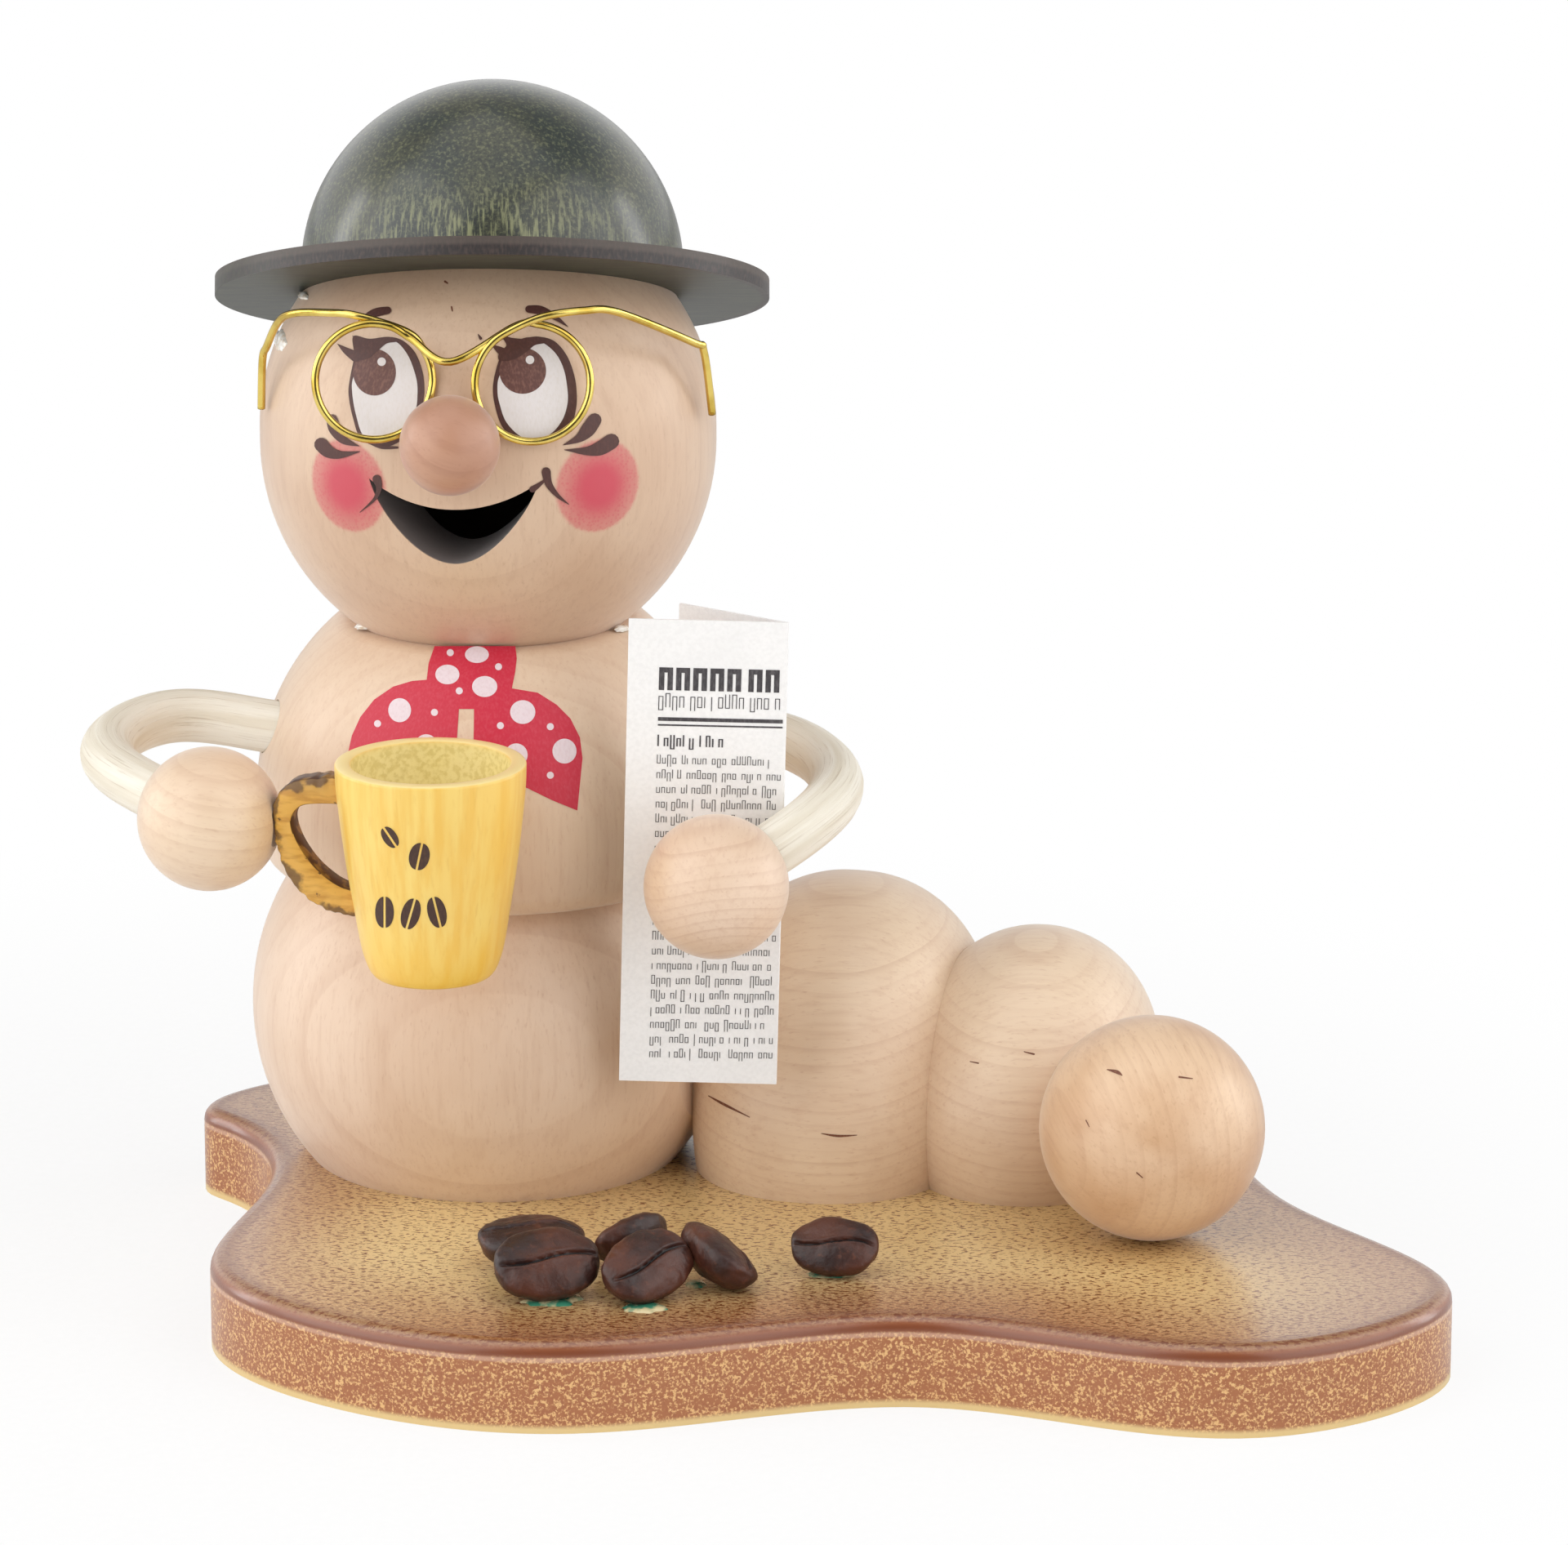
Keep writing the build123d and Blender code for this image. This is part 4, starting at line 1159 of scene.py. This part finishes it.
def filled(outer, holes):
    """Triangles inside an outline and outside its holes, with a grid of points between."""
    inside = [spot for spot in grid_inside(outer, base_grid) if not any(
        is_inside(spot, hole) or rim_distance(spot, hole) < base_grid * rim_gap_share for hole in holes)]
    points = []
    edges = []
    for loop in [outer, *holes]:
        first = len(points)
        points += loop
        edges += [(first + index, first + (index + 1) % len(loop)) for index in range(len(loop))]
    spots, made_edges, faces, *_ = delaunay_2d_cdt(points + inside, edges, [], 0, fill_merge)
    kept = []
    for face in faces:
        middle = sum((spots[index] for index in face), Vector((0, 0))) / len(face)
        if is_inside(middle, outer) and not any(is_inside(middle, hole) for hole in holes):
            kept.append(face)
    return spots, kept


def make_base_board():
    outline = closed_curve(base_outline_points, base_curve_steps)
    turns = [pi / 2 * step / base_edge_steps for step in range(base_edge_steps + 1)]
    rings = [(0.0, 0.0)]
    rings += [(base_edge_round * (1 - cos(t)), base_level - base_edge_round * (1 - sin(t))) for t in turns]
    points = []
    depths = []
    for inset, level in rings:
        points += [Vector((*spot, level)) for spot in inset_loop(outline, inset)]
        depths += [0.0 if level < base_level else inset] * len(outline)
    faces = ring_faces(len(rings), len(outline), False)
    top_points, top_faces = filled(inset_loop(outline, base_edge_round), [])
    faces += [[len(points) + index for index in face] for face in top_faces]
    points += [Vector((*spot, base_level)) for spot in top_points]
    depths += [rim_distance(spot, outline) for spot in top_points]
    holes = screw_holes()
    low_points, low_faces = filled(outline, holes)
    faces += [[len(points) + index for index in face[::-1]] for face in low_faces]
    points += [Vector((*spot, 0.0)) for spot in low_points]
    for hole in holes:
        walls = ring_faces(2, len(hole), False)
        faces += [[len(points) + index for index in (b, a, d, c)] for a, b, c, d in walls]
        points += [Vector((*spot, level)) for level in (0.0, screw_hole_depth) for spot in hole]
    depths += [0.0] * (len(points) - len(depths))
    piece = add_piece("sprayed_base", [figure(point) for point in points], faces, base_material(), base_body,
                      True, ("edge_depth", depths))
    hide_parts("base_plate")


# Board's paint: sprayed darker towards its edge, speckled brown on top and cream on the sides, with a painted
# highlight along its round top edge
top_yellow = (240, 216, 158)
top_tan = (216, 184, 126)
spray_brown = (150, 84, 46)
spray_pink = (176, 126, 104)
rim_brown = (118, 58, 28)
# Pale pink of the painted highlight on the round top edge
rim_highlight_pink = (226, 192, 170)
speck_brown = (112, 54, 14)
side_brown = (164, 98, 52)
side_cream = (226, 180, 118)
bottom_line = (224, 196, 136)
top_clouds = (40.0, 3.0)
top_cloud_window = (0.35, 0.7)
top_window = (0.45, 0.85)
speck_texture = (3100.0, 3.0, 0.62)
mottle_window = (0.35, 0.62)
mottle_share = 0.30
blot_texture = (1100.0, 3.0, 0.6)
dash_texture = (2800.0, 2.0, 0.55)
dash_turn = 25.0
dash_stretch = (0.45, 1, 1)
dash_limit = 0.562
dash_limit_share = 0.04
dash_window = (0.0, 0.03)
dash_share = 0.95
spray_sway = 0.006
spray_reach = (0.024, 0.005)
spray_middle = 0.035
spray_middle_width = (0.028, 0.056)
spray_aside_share = 0.32
spray_shares = (0.35, 0.56)
end_shares = (0.25, 0.30)
right_end = (0.070, 0.098)
left_end = (-0.012, -0.030)
rim_depth = (0.0034, 0.0018)
rim_share = 0.50
cream_blot_share = 0.35
cream_window = (0.67, 0.80)
dark_blot_window = (0.04, 0.16)
dark_blot_share = 0.5
side_top_levels = (0.0081, 0.0087)
dark_line_levels = (0.0082, 0.0086), (0.0095, 0.0089)
dark_line_share = 0.75
# Painted highlight: a pale line just under the round top edge
highlight_line_levels = (0.0077, 0.0080), (0.0085, 0.0082)
highlight_line_share = 0.38
bottom_line_levels = (0.0011, 0.0004)
# Painted highlight: a faint pale band on the rounding, picked out by the normal
shine_windows = (0.60, 0.72), (0.90, 0.80)
shine_share = 0.15
board_rough_share = 0.25
board_least_rough = 0.22
board_relief = 0.00003
board_finish = {"Coat Weight": 0.7, "Coat Roughness": 0.22}


def base_material():
    shader = Shader("sprayed_base_board")
    depth = shader.add("ShaderNodeAttribute", output="Fac", attribute_name="edge_depth")
    x, y, z = shader.parts(shader.place)
    up = shader.parts(shader.add("ShaderNodeNewGeometry", output="Normal"))[2]
    clouds = shader.noise(shader.place, *top_clouds)
    specks = shader.noise(shader.place, *speck_texture)
    blots = shader.noise(shader.place, *blot_texture)
    mottle = shader.window(specks, *mottle_window)
    aside = shader.window(shader.math("ABSOLUTE", x - spray_middle), *spray_middle_width)
    near = shader.window(depth + clouds * spray_sway, *spray_reach) * (1 - aside * spray_aside_share)
    tone = shader.laid(top_yellow, top_tan, clouds, top_cloud_window)
    tone = shader.mix(mottle * mottle_share, tone, top_tan)
    tone = shader.mix(near * (mottle * spray_shares[0] + spray_shares[1]), tone, spray_brown)
    turn = (0, 0, radians(dash_turn))
    dashes = shader.noise(shader.mapped(shader.place, rotation=turn, scale=dash_stretch), *dash_texture)
    dashes = dashes - (dash_limit - near * dash_limit_share)
    tone = shader.laid(tone, speck_brown, dashes, dash_window, dash_share)
    end = shader.most(shader.window(x, *right_end), shader.window(x, *left_end))
    tone = shader.mix(end * (mottle * end_shares[0] + end_shares[1]), tone, spray_pink)
    tone = shader.laid(tone, rim_brown, depth, rim_depth, rim_share)
    side = shader.laid(side_brown, side_cream, specks + blots * cream_blot_share, cream_window)
    side = shader.laid(side, spray_brown, blots - specks, dark_blot_window, dark_blot_share)
    side = shader.laid(side, spray_brown, z, side_top_levels)
    side = shader.mix(shader.band(z, *dark_line_levels) * dark_line_share, side, rim_brown)
    # A painted highlight: a pale pink line just under the round top edge
    side = shader.mix(shader.band(z, *highlight_line_levels) * highlight_line_share, side, rim_highlight_pink)
    side = shader.laid(side, bottom_line, z, bottom_line_levels)
    tone = shader.mix(shader.window(up, *top_window), side, tone)
    # A faint painted highlight on the round top edge, where it turns from top to side
    tone = shader.mix(shader.band(up, *shine_windows) * shine_share, tone, rim_highlight_pink)
    rough = specks * board_rough_share + board_least_rough
    return shader.surface(tone, rough, specks, board_relief, board_finish)


# Rattan arms: round canes with fine lengthwise ridges. An arm has the points of its bend, the way out
# of the shoulder, the hand's place and the way into the hand.
arm_radius = 0.003
shoulder_hole_depth = 0.008
hand_hole_depth = 0.005
mug_arm = ([(-0.0250, -0.0032, 0.0595), (-0.0345, -0.0013, 0.0601), (-0.0414, -0.0095, 0.0591)],
           (-1.0, 0.5, 0.02), (-0.02905, -0.0300, 0.0564), (0.70, -0.71, -0.12))
paper_arm = ([(0.0255, -0.0028, 0.0588), (0.0379, -0.0170, 0.0575)],
             (1.0, 0.0, 0.0), (0.0252, -0.0360, 0.0506), (-0.80, -0.40, -0.44))
arm_span_steps = 24
arm_end_steps = 6
cane_steps = 72
cane_ridge_depth = 0.00010
cane_ridge_count = 9.0
cane_along_share = 0.04


def arm_line(points, shoulder_direction, hand_place, wrist_direction):
    """The cane's middle line: straight in the shoulder, bent, and straight in the hand."""
    out = Vector(shoulder_direction).normalized()
    into = Vector(wrist_direction).normalized()
    wrist = Vector(hand_place) - into * hand_radius
    bend = clamped_curve([*points, tuple(wrist)], out, into, arm_span_steps)
    shares = [step / arm_end_steps for step in range(arm_end_steps)]
    root = [Vector(points[0]) - out * shoulder_hole_depth * (1 - share) for share in shares]
    end = [wrist + into * hand_hole_depth * (1 - share) for share in shares[::-1]]
    return root + bend + end


def travelled_along(line):
    """How far each point of a line is from its start, along it."""
    made = [0.0]
    for first, last in zip(line, line[1:]):
        made.append(made[-1] + (last - first).length)
    return made


def tube_points(line, steps, radius_at):
    """Rings of points round a line, without a twist; the radius may change with angle and way travelled."""
    ways = [(line[min(i + 1, len(line) - 1)] - line[max(i - 1, 0)]).normalized() for i in range(len(line))]
    side = ways[0].orthogonal().normalized()
    points = []
    for middle, way, travelled in zip(line, ways, travelled_along(line)):
        side = (side - way * side.dot(way)).normalized()
        other = way.cross(side)
        for step in range(steps):
            angle = tau * step / steps
            reach = (side * cos(angle) + other * sin(angle)) * radius_at(angle, travelled)
            points.append(figure(middle + reach))
    return points


def cane_radius(angle, travelled):
    place = Vector((cos(angle), sin(angle), travelled / arm_radius * cane_along_share))
    ridge = (noise.noise(place * cane_ridge_count) + 1) * middle_share
    return arm_radius - cane_ridge_depth * ridge


def make_cane(name, node_name, line, material):
    """A ridged round cane round a middle line, with a map that runs along it."""
    travelled = travelled_along(line)
    points = tube_points(line, cane_steps, cane_radius)
    piece = add_piece(name, points, ring_faces(len(line), cane_steps), material, upper_body)
    cover = piece.data.uv_layers.new(name="cane")
    for face in piece.data.polygons:
        spots = [divmod(vertex, cane_steps) for vertex in face.vertices]
        wraps = any(step == cane_steps - 1 for ring, step in spots)
        for corner, (ring, step) in zip(face.loop_indices, spots):
            turn = 1.0 if wraps and step == 0 else step / cane_steps
            cover.data[corner].uv = (turn, travelled[ring] / (tau * arm_radius))
    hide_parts(node_name)


# Coffee beans: place on the base and length in millimetres, turn, tilt of the creased side, and roll
bean_rows = [
    (5.4, -42.3, 11.3, 2.0, 8.0, 0.0),
    (7.4, -52.0, 11.4, 14.0, 46.0, 0.0),
    (15.9, -41.4, 9.2, 40.0, -52.0, 0.0),
    (18.0, -52.2, 10.8, 48.0, 46.0, -14.0),
    (25.7, -47.9, 10.6, -46.0, -35.0, 16.0),
    (37.8, -44.6, 9.4, -8.0, 46.0, 0.0),
]
bean_width_share = 0.71
bean_dome_share = 0.30
bean_face_share = 0.15
bean_blunt_power = 0.86
bean_crease_half_width_share = 0.016
bean_crease_depth_share = 0.075
bean_lip_share = 0.010
bean_lip_place = 2.2
bean_sway_share = 0.035
bean_end_share = 0.93
bean_end_power = 6
bean_wrinkle = 0.00022
bean_wrinkle_scale = 420.0
fine_wrinkle_times = 2.4
fine_wrinkle_share = 0.4
bean_rings = 60
bean_steps = 112
matrix_size = 4
bean_brown = (84, 44, 30)
bean_coats = [((220.0, 3.0), even, (0.36, 0.66), 1.0, (46, 24, 20)),
              ((1300.0, 4.0), even, (0.55, 0.75), 0.45, (112, 62, 40))]
# Painted shade: the crease is darkened to near black
crease_shade = (12, 8, 8)
crease_shade_window = (0.35, 0.80)
bean_rough_share = 0.25
bean_least_rough = 0.30
bean_relief = 0.00012


def bean_point(length, along, around, seed):
    """One point of a bean's skin and how deep in the crease it is; the creased side is up."""
    half = length / 2
    half_width = half * bean_width_share
    is_above = sin(around) > 0
    share = cos(along)
    waist = sin(along) ** bean_blunt_power
    height = length * (bean_face_share if is_above else bean_dome_share)
    spot = Vector((half * share, half_width * waist * cos(around), height * waist * sin(around)))
    normal = Vector((spot.x / half ** 2, spot.y / half_width ** 2, spot.z / height ** 2)).normalized()
    sway = length * bean_sway_share * sin(share * pi)
    across = (spot.y - sway) / (length * bean_crease_half_width_share)
    ends = max(0.0, 1 - (abs(share) / bean_end_share) ** bean_end_power) if is_above else 0.0
    crease = exp(-across ** 2) * ends
    lips = exp(-((abs(across) - bean_lip_place) ** 2)) * ends
    wrinkle = noise.noise((spot + Vector((seed, 0, 0))) * bean_wrinkle_scale)
    fine = noise.noise((spot + Vector((0, seed, 0))) * bean_wrinkle_scale * fine_wrinkle_times)
    spot += normal * ((wrinkle + fine * fine_wrinkle_share) * bean_wrinkle + lips * length * bean_lip_share)
    spot.z -= crease * length * bean_crease_depth_share
    return spot, crease


def make_bean(number, row, material):
    place_x, place_y, length, turn, tilt, roll = row
    rings = [pi * ring / bean_rings for ring in range(bean_rings + 1)]
    steps = [tau * step / bean_steps for step in range(bean_steps)]
    skin = [bean_point(length * millimetre, along, around, number) for along in rings for around in steps]
    faces = [[a, d, c, b] for a, b, c, d in ring_faces(len(rings), bean_steps, False)]
    turned_bean = Matrix.Identity(matrix_size)
    for angle, axis in ((turn, "Z"), (tilt, "X"), (roll, "Y")):
        turned_bean = turned_bean @ Matrix.Rotation(radians(angle), matrix_size, axis)
    points = [turned_bean @ spot for spot, crease in skin]
    lowest = min(point.z for point in points)
    place = Vector((place_x * millimetre, place_y * millimetre, base_level - lowest))
    piece = add_piece(f"roast_bean_{number}", [figure(point + place) for point in points], faces, material,
                      base_body, layer=("crease", [crease for spot, crease in skin]))
    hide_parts(f"coffee_bean_{number}")


def bean_material():
    shader = Shader("roasted_bean_skin")
    tone, (wide, fine) = shader.coated(shader.place, bean_brown, bean_coats)
    crease = shader.add("ShaderNodeAttribute", output="Fac", attribute_name="crease")
    # The crease is painted near black as shade in the slit
    tone = shader.laid(tone, crease_shade, crease, crease_shade_window)
    return shader.surface(tone, fine * bean_rough_share + bean_least_rough, fine, bean_relief, {})


# Glue: green smears under the beans, pale flecks at the hat and a temple, beads at the neck; in pixels
bean_glue_pixels = [
    ((672, 1593), 32, 7), ((697, 1589), 16, 6.5), ((789, 1602), 27, 6), ((852, 1573), 13, 5),
    ((1019, 1560), 32, 5),
]
head_glue_pixels = [((372, 362), 6, 5), ((344, 417), 7, 13)]
torso_glue_pixels = [((443, 768), 8, 3), ((761, 770), 9, 4)]
glue_height = 0.00035
glue_rings = 6
glue_steps = 40
glue_ragged_share = 0.35
glue_ragged_scale = 2


def glue_points(number, centre, half_width, half_height, carrier):
    """A low ragged drop of glue over an oval of pixels."""
    points = []
    for share in [ring / glue_rings for ring in range(glue_rings + 1)]:
        lift = glue_height * sqrt(max(0, 1 - share ** 2))
        for step in range(glue_steps):
            x, y = turned(1, 0, tau * step / glue_steps)
            rag = noise.noise(Vector((x * glue_ragged_scale, y * glue_ragged_scale, number)))
            reach = share * (1 + glue_ragged_share * rag)
            pixel = (centre[0] + half_width * reach * x, centre[1] + half_height * reach * y)
            points.append(carrier.touch(pixel, lift)[0])
    return points


def make_glue():
    green = coated_shader("green_glue", green_glue_values).material
    pale = coated_shader("pale_glue", pale_glue_values).material
    faces = ring_faces(glue_rings + 1, glue_steps, False)
    for name, rows, carrier, material, body, slot in (
            ("bean_glue", bean_glue_pixels, LevelPlane(), green, base_body, "sprayed_board"),
            ("head_glue", head_glue_pixels, head_ball, pale, upper_body, "head_wood"),
            ("neck_glue", torso_glue_pixels, torso_ball, pale, upper_body, "torso_wood")):
        for number, row in enumerate(rows, start=1):
            add_piece(f"{name}_{number}", glue_points(number, *row, carrier), faces, material, body)


# Spectacles: one thin wire with a full loop round each eye; a loop has place, turn, start and end
wire_radius = 0.00043
wire_steps = 16
wire_span_steps = 10
loop_first_radius = 0.0063
loop_last_radius = 0.0061
loop_overlap = 0.0010
loop_lean = 9.0
loop_points_each_turn = 16
left_loop = ((-0.0112, -0.0233, 0.1028), 0.0, 56.0, 48.0)
right_loop = ((0.00567, -0.0238, 0.10266), 8.0, 104.0, 118.0)
bridge_place = (-0.0029, -0.0252, 0.1053)
left_temple = [(-0.02426, -0.0080, 0.0964), (-0.02396, -0.0090, 0.1020), (-0.02336, -0.0102, 0.1038),
               (-0.02184, -0.0135, 0.10715), (-0.01996, -0.0165, 0.1087), (-0.01624, -0.0200, 0.1095),
               (-0.01292, -0.0220, 0.1096)]
right_temple = [(0.0067, -0.0234, 0.10974), (0.0111, -0.0222, 0.1102), (0.01477, -0.0200, 0.10955),
                (0.0226, -0.0122, 0.10462), (0.02377, -0.0108, 0.10326), (0.02462, -0.0090, 0.0960)]
nose_sink = 0.0009
wire_gap = 0.00004
clear_rounds = 4


def loop_line(place, turn, start, end):
    """Points round one lens loop, clockwise as seen, stepping forward by a wire on the way."""
    across = Vector((cos(radians(turn)), sin(radians(turn)), 0))
    level_outward = Vector((sin(radians(turn)), -cos(radians(turn)), 0))
    up = Vector((0, 0, 1)) * cos(radians(loop_lean)) - level_outward * sin(radians(loop_lean))
    outward = level_outward * cos(radians(loop_lean)) + Vector((0, 0, 1)) * sin(radians(loop_lean))
    sweep = 360 + start - end
    count = round(loop_points_each_turn * sweep / 360)
    points = []
    for share in [step / count for step in range(count + 1)]:
        angle = radians(start - sweep * share)
        radius = loop_first_radius + (loop_last_radius - loop_first_radius) * share
        reach = (across * cos(angle) + up * sin(angle)) * radius
        points.append(Vector(place) + reach + outward * loop_overlap * (share - middle_share))
    return points


def kept_clear(point):
    """The point, moved off the head, and nearly off the nose, where the wire would cut into them."""
    for step in range(clear_rounds):
        for centre, radius in ((Vector(nose_place), nose_radius - nose_sink),
                               (head_ball.centre_at(point.z), head_radius)):
            arm = point - centre
            least = radius + wire_radius + wire_gap
            if arm.length < least:
                point = centre + arm.normalized() * least
    return point


def even_wire(angle, travelled):
    return wire_radius


def make_spectacles():
    points = left_temple + loop_line(*left_loop) + [bridge_place] + loop_line(*right_loop) + right_temple
    line = [kept_clear(point) for point in smooth(points, steps=wire_span_steps)]
    brass = metal_material("polished_brass", *wire_metal)
    points = tube_points(line, wire_steps, even_wire)
    faces = ring_faces(len(line), wire_steps)
    wire = add_piece("spectacle_wire", points, faces, brass, upper_body)
    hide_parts("spectacles")


def dress_solids():
    materials = {
        "lower_body": wood("body_maple", lower_look),
        "torso": wood("torso_maple", torso_look),
        "head": head_material(),
        "nose": wood("nose_beech", nose_look),
        "tail_segments": wood("tail_maple", tail_look),
        "tail_ball": wood("tail_ball_maple", tail_ball_look),
        "tail_dowel": wood("dowel_beech", dowel_look),
        "mug_hand": wood("mug_hand_maple", mug_hand_look),
        "paper_hand": wood("paper_hand_maple", paper_hand_look),
        "hat_crown": crown_material(),
        "hat_brim": brim_material(),
        "newspaper": coated_shader("newsprint_paper", paper_values).material,
        "incense_plate": metal_material("sooty_brass", *plate_metal, soot_coats),
        "plate_tack": metal_material("tack_brass", *tack_metal),
        "base_screws": metal_material("screw_steel", *screw_metal),
    }
    for node_name, material in materials.items():
        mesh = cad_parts[node_name].data
        mesh.materials.clear()
        mesh.materials.append(material)


dress_solids()
make_face_print()
make_bow_print()
make_mug_print(make_mug())
make_handle()
make_paper_print()
make_wood_marks()
make_base_board()
cane = coated_shader("rattan_cane", rattan_values, "UV").material
make_cane("mug_cane", "mug_arm", arm_line(*mug_arm), cane)
make_cane("paper_cane", "paper_arm", arm_line(*paper_arm), cane)
bean_skin = bean_material()
for bean_number, bean_row in enumerate(bean_rows, start=1):
    make_bean(bean_number, bean_row, bean_skin)
make_glue()
make_spectacles()


# Camera, light and surroundings; a lamp has name, place, size and power
floor_half_width = 4.0
floor_drop = 0.00002
floor_fade = (0.07, 0.17)
floor_white_share = 0.80
world_strength = 0.16
room_reach = (-0.75, 0.15)
room_dim_share = 0.12
room_heights = (0.35, 0.75)
room_ceiling_share = 0.15
white = (1, 1, 1, 1)
lamp_aim = (0.0, 0.0, 0.05)
lamps = [
    ("left_lamp", (-0.95, -0.62, 0.64), (1.5, 1.5), 12.9),
    ("right_lamp", (0.95, -0.62, 0.60), (1.5, 1.5), 11.0),
    ("top_lamp", (-0.10, -0.10, 1.20), (1.2, 1.2), 4.4),
    ("left_strip", (-1.10, 0.30, 0.28), (0.25, 0.8), 2.8),
    ("right_strip", (1.10, 0.30, 0.28), (0.25, 0.8), 2.8),
]


def add_to_scene(name, data):
    made = bpy.data.objects.new(name, data)
    bpy.context.scene.collection.objects.link(made)
    return made


def make_camera():
    data = bpy.data.cameras.new("photo_camera")
    data.sensor_width = film_width
    data.lens = focal_pixels / photo_width * film_width
    data.clip_start, data.clip_end = clip_reach
    camera = add_to_scene("photo_camera", data)
    camera.location = figure(camera_place)
    camera.rotation_euler = (radians(90 - camera_pitch), 0, 0)
    bpy.context.scene.camera = camera


def make_floor():
    shader = coated_shader("floor_paper", floor_values)
    seen = shader.add("ShaderNodeLightPath", output="Is Camera Ray")
    far = shader.window(shader.length(shader.place), *floor_fade, floor_white_share)
    glow = shader.add("ShaderNodeEmission", {"Color": white, "Strength": 1.0})
    mixed = shader.add("ShaderNodeMixShader", {0: seen * far, 1: shader.principled, 2: glow})
    shader.feed(shader.output, mixed)
    mesh = bpy.data.meshes.new("floor")
    half = floor_half_width
    corners = [(-half, -half, 0), (half, -half, 0), (half, half, 0), (-half, half, 0)]
    mesh.from_pydata(corners, [], [(0, 1, 2, 3)])
    mesh.materials.append(shader.material)
    floor = add_to_scene("floor", mesh)
    floor.location.z = -floor_drop


def make_world():
    """A white backdrop for the camera, a room that dims in front and above for mirrors, a dim light."""
    world = bpy.data.worlds.new("studio")
    bpy.context.scene.world = world
    world.use_nodes = True
    tree = NodeTree(world.node_tree)
    seen, mirrored, through = [tree.add("ShaderNodeLightPath", output=f"Is {kind} Ray")
                               for kind in ("Camera", "Glossy", "Transmission")]
    x, y, z = tree.parts(tree.add("ShaderNodeTexCoord", output="Generated"))
    room = tree.window(y, *room_reach, room_dim_share)
    room = room * tree.window(z, *room_heights, 1.0, room_ceiling_share)
    dim = tree.add("ShaderNodeBackground", {"Color": white, "Strength": world_strength})
    shown = tree.add("ShaderNodeBackground", {"Color": white, "Strength": tree.most(seen, room)})
    either = tree.most(tree.most(seen, mirrored), through)
    mixer = tree.add("ShaderNodeMixShader", {0: either, 1: dim, 2: shown})
    tree.feed(tree.tree.nodes.new("ShaderNodeOutputWorld").inputs["Surface"], mixer)


def make_lamp(name, place, size, power):
    data = bpy.data.lights.new(name, "AREA")
    data.shape = "RECTANGLE"
    data.size, data.size_y = size
    data.energy = power
    lamp = add_to_scene(name, data)
    lamp.location = figure(place)
    lamp.rotation_euler = (Vector(lamp_aim) - Vector(place)).to_track_quat("-Z", "Y").to_euler()


make_camera()
make_floor()
make_world()
for lamp_values in lamps:
    make_lamp(*lamp_values)

bpy.context.scene.view_settings.view_transform = "Standard"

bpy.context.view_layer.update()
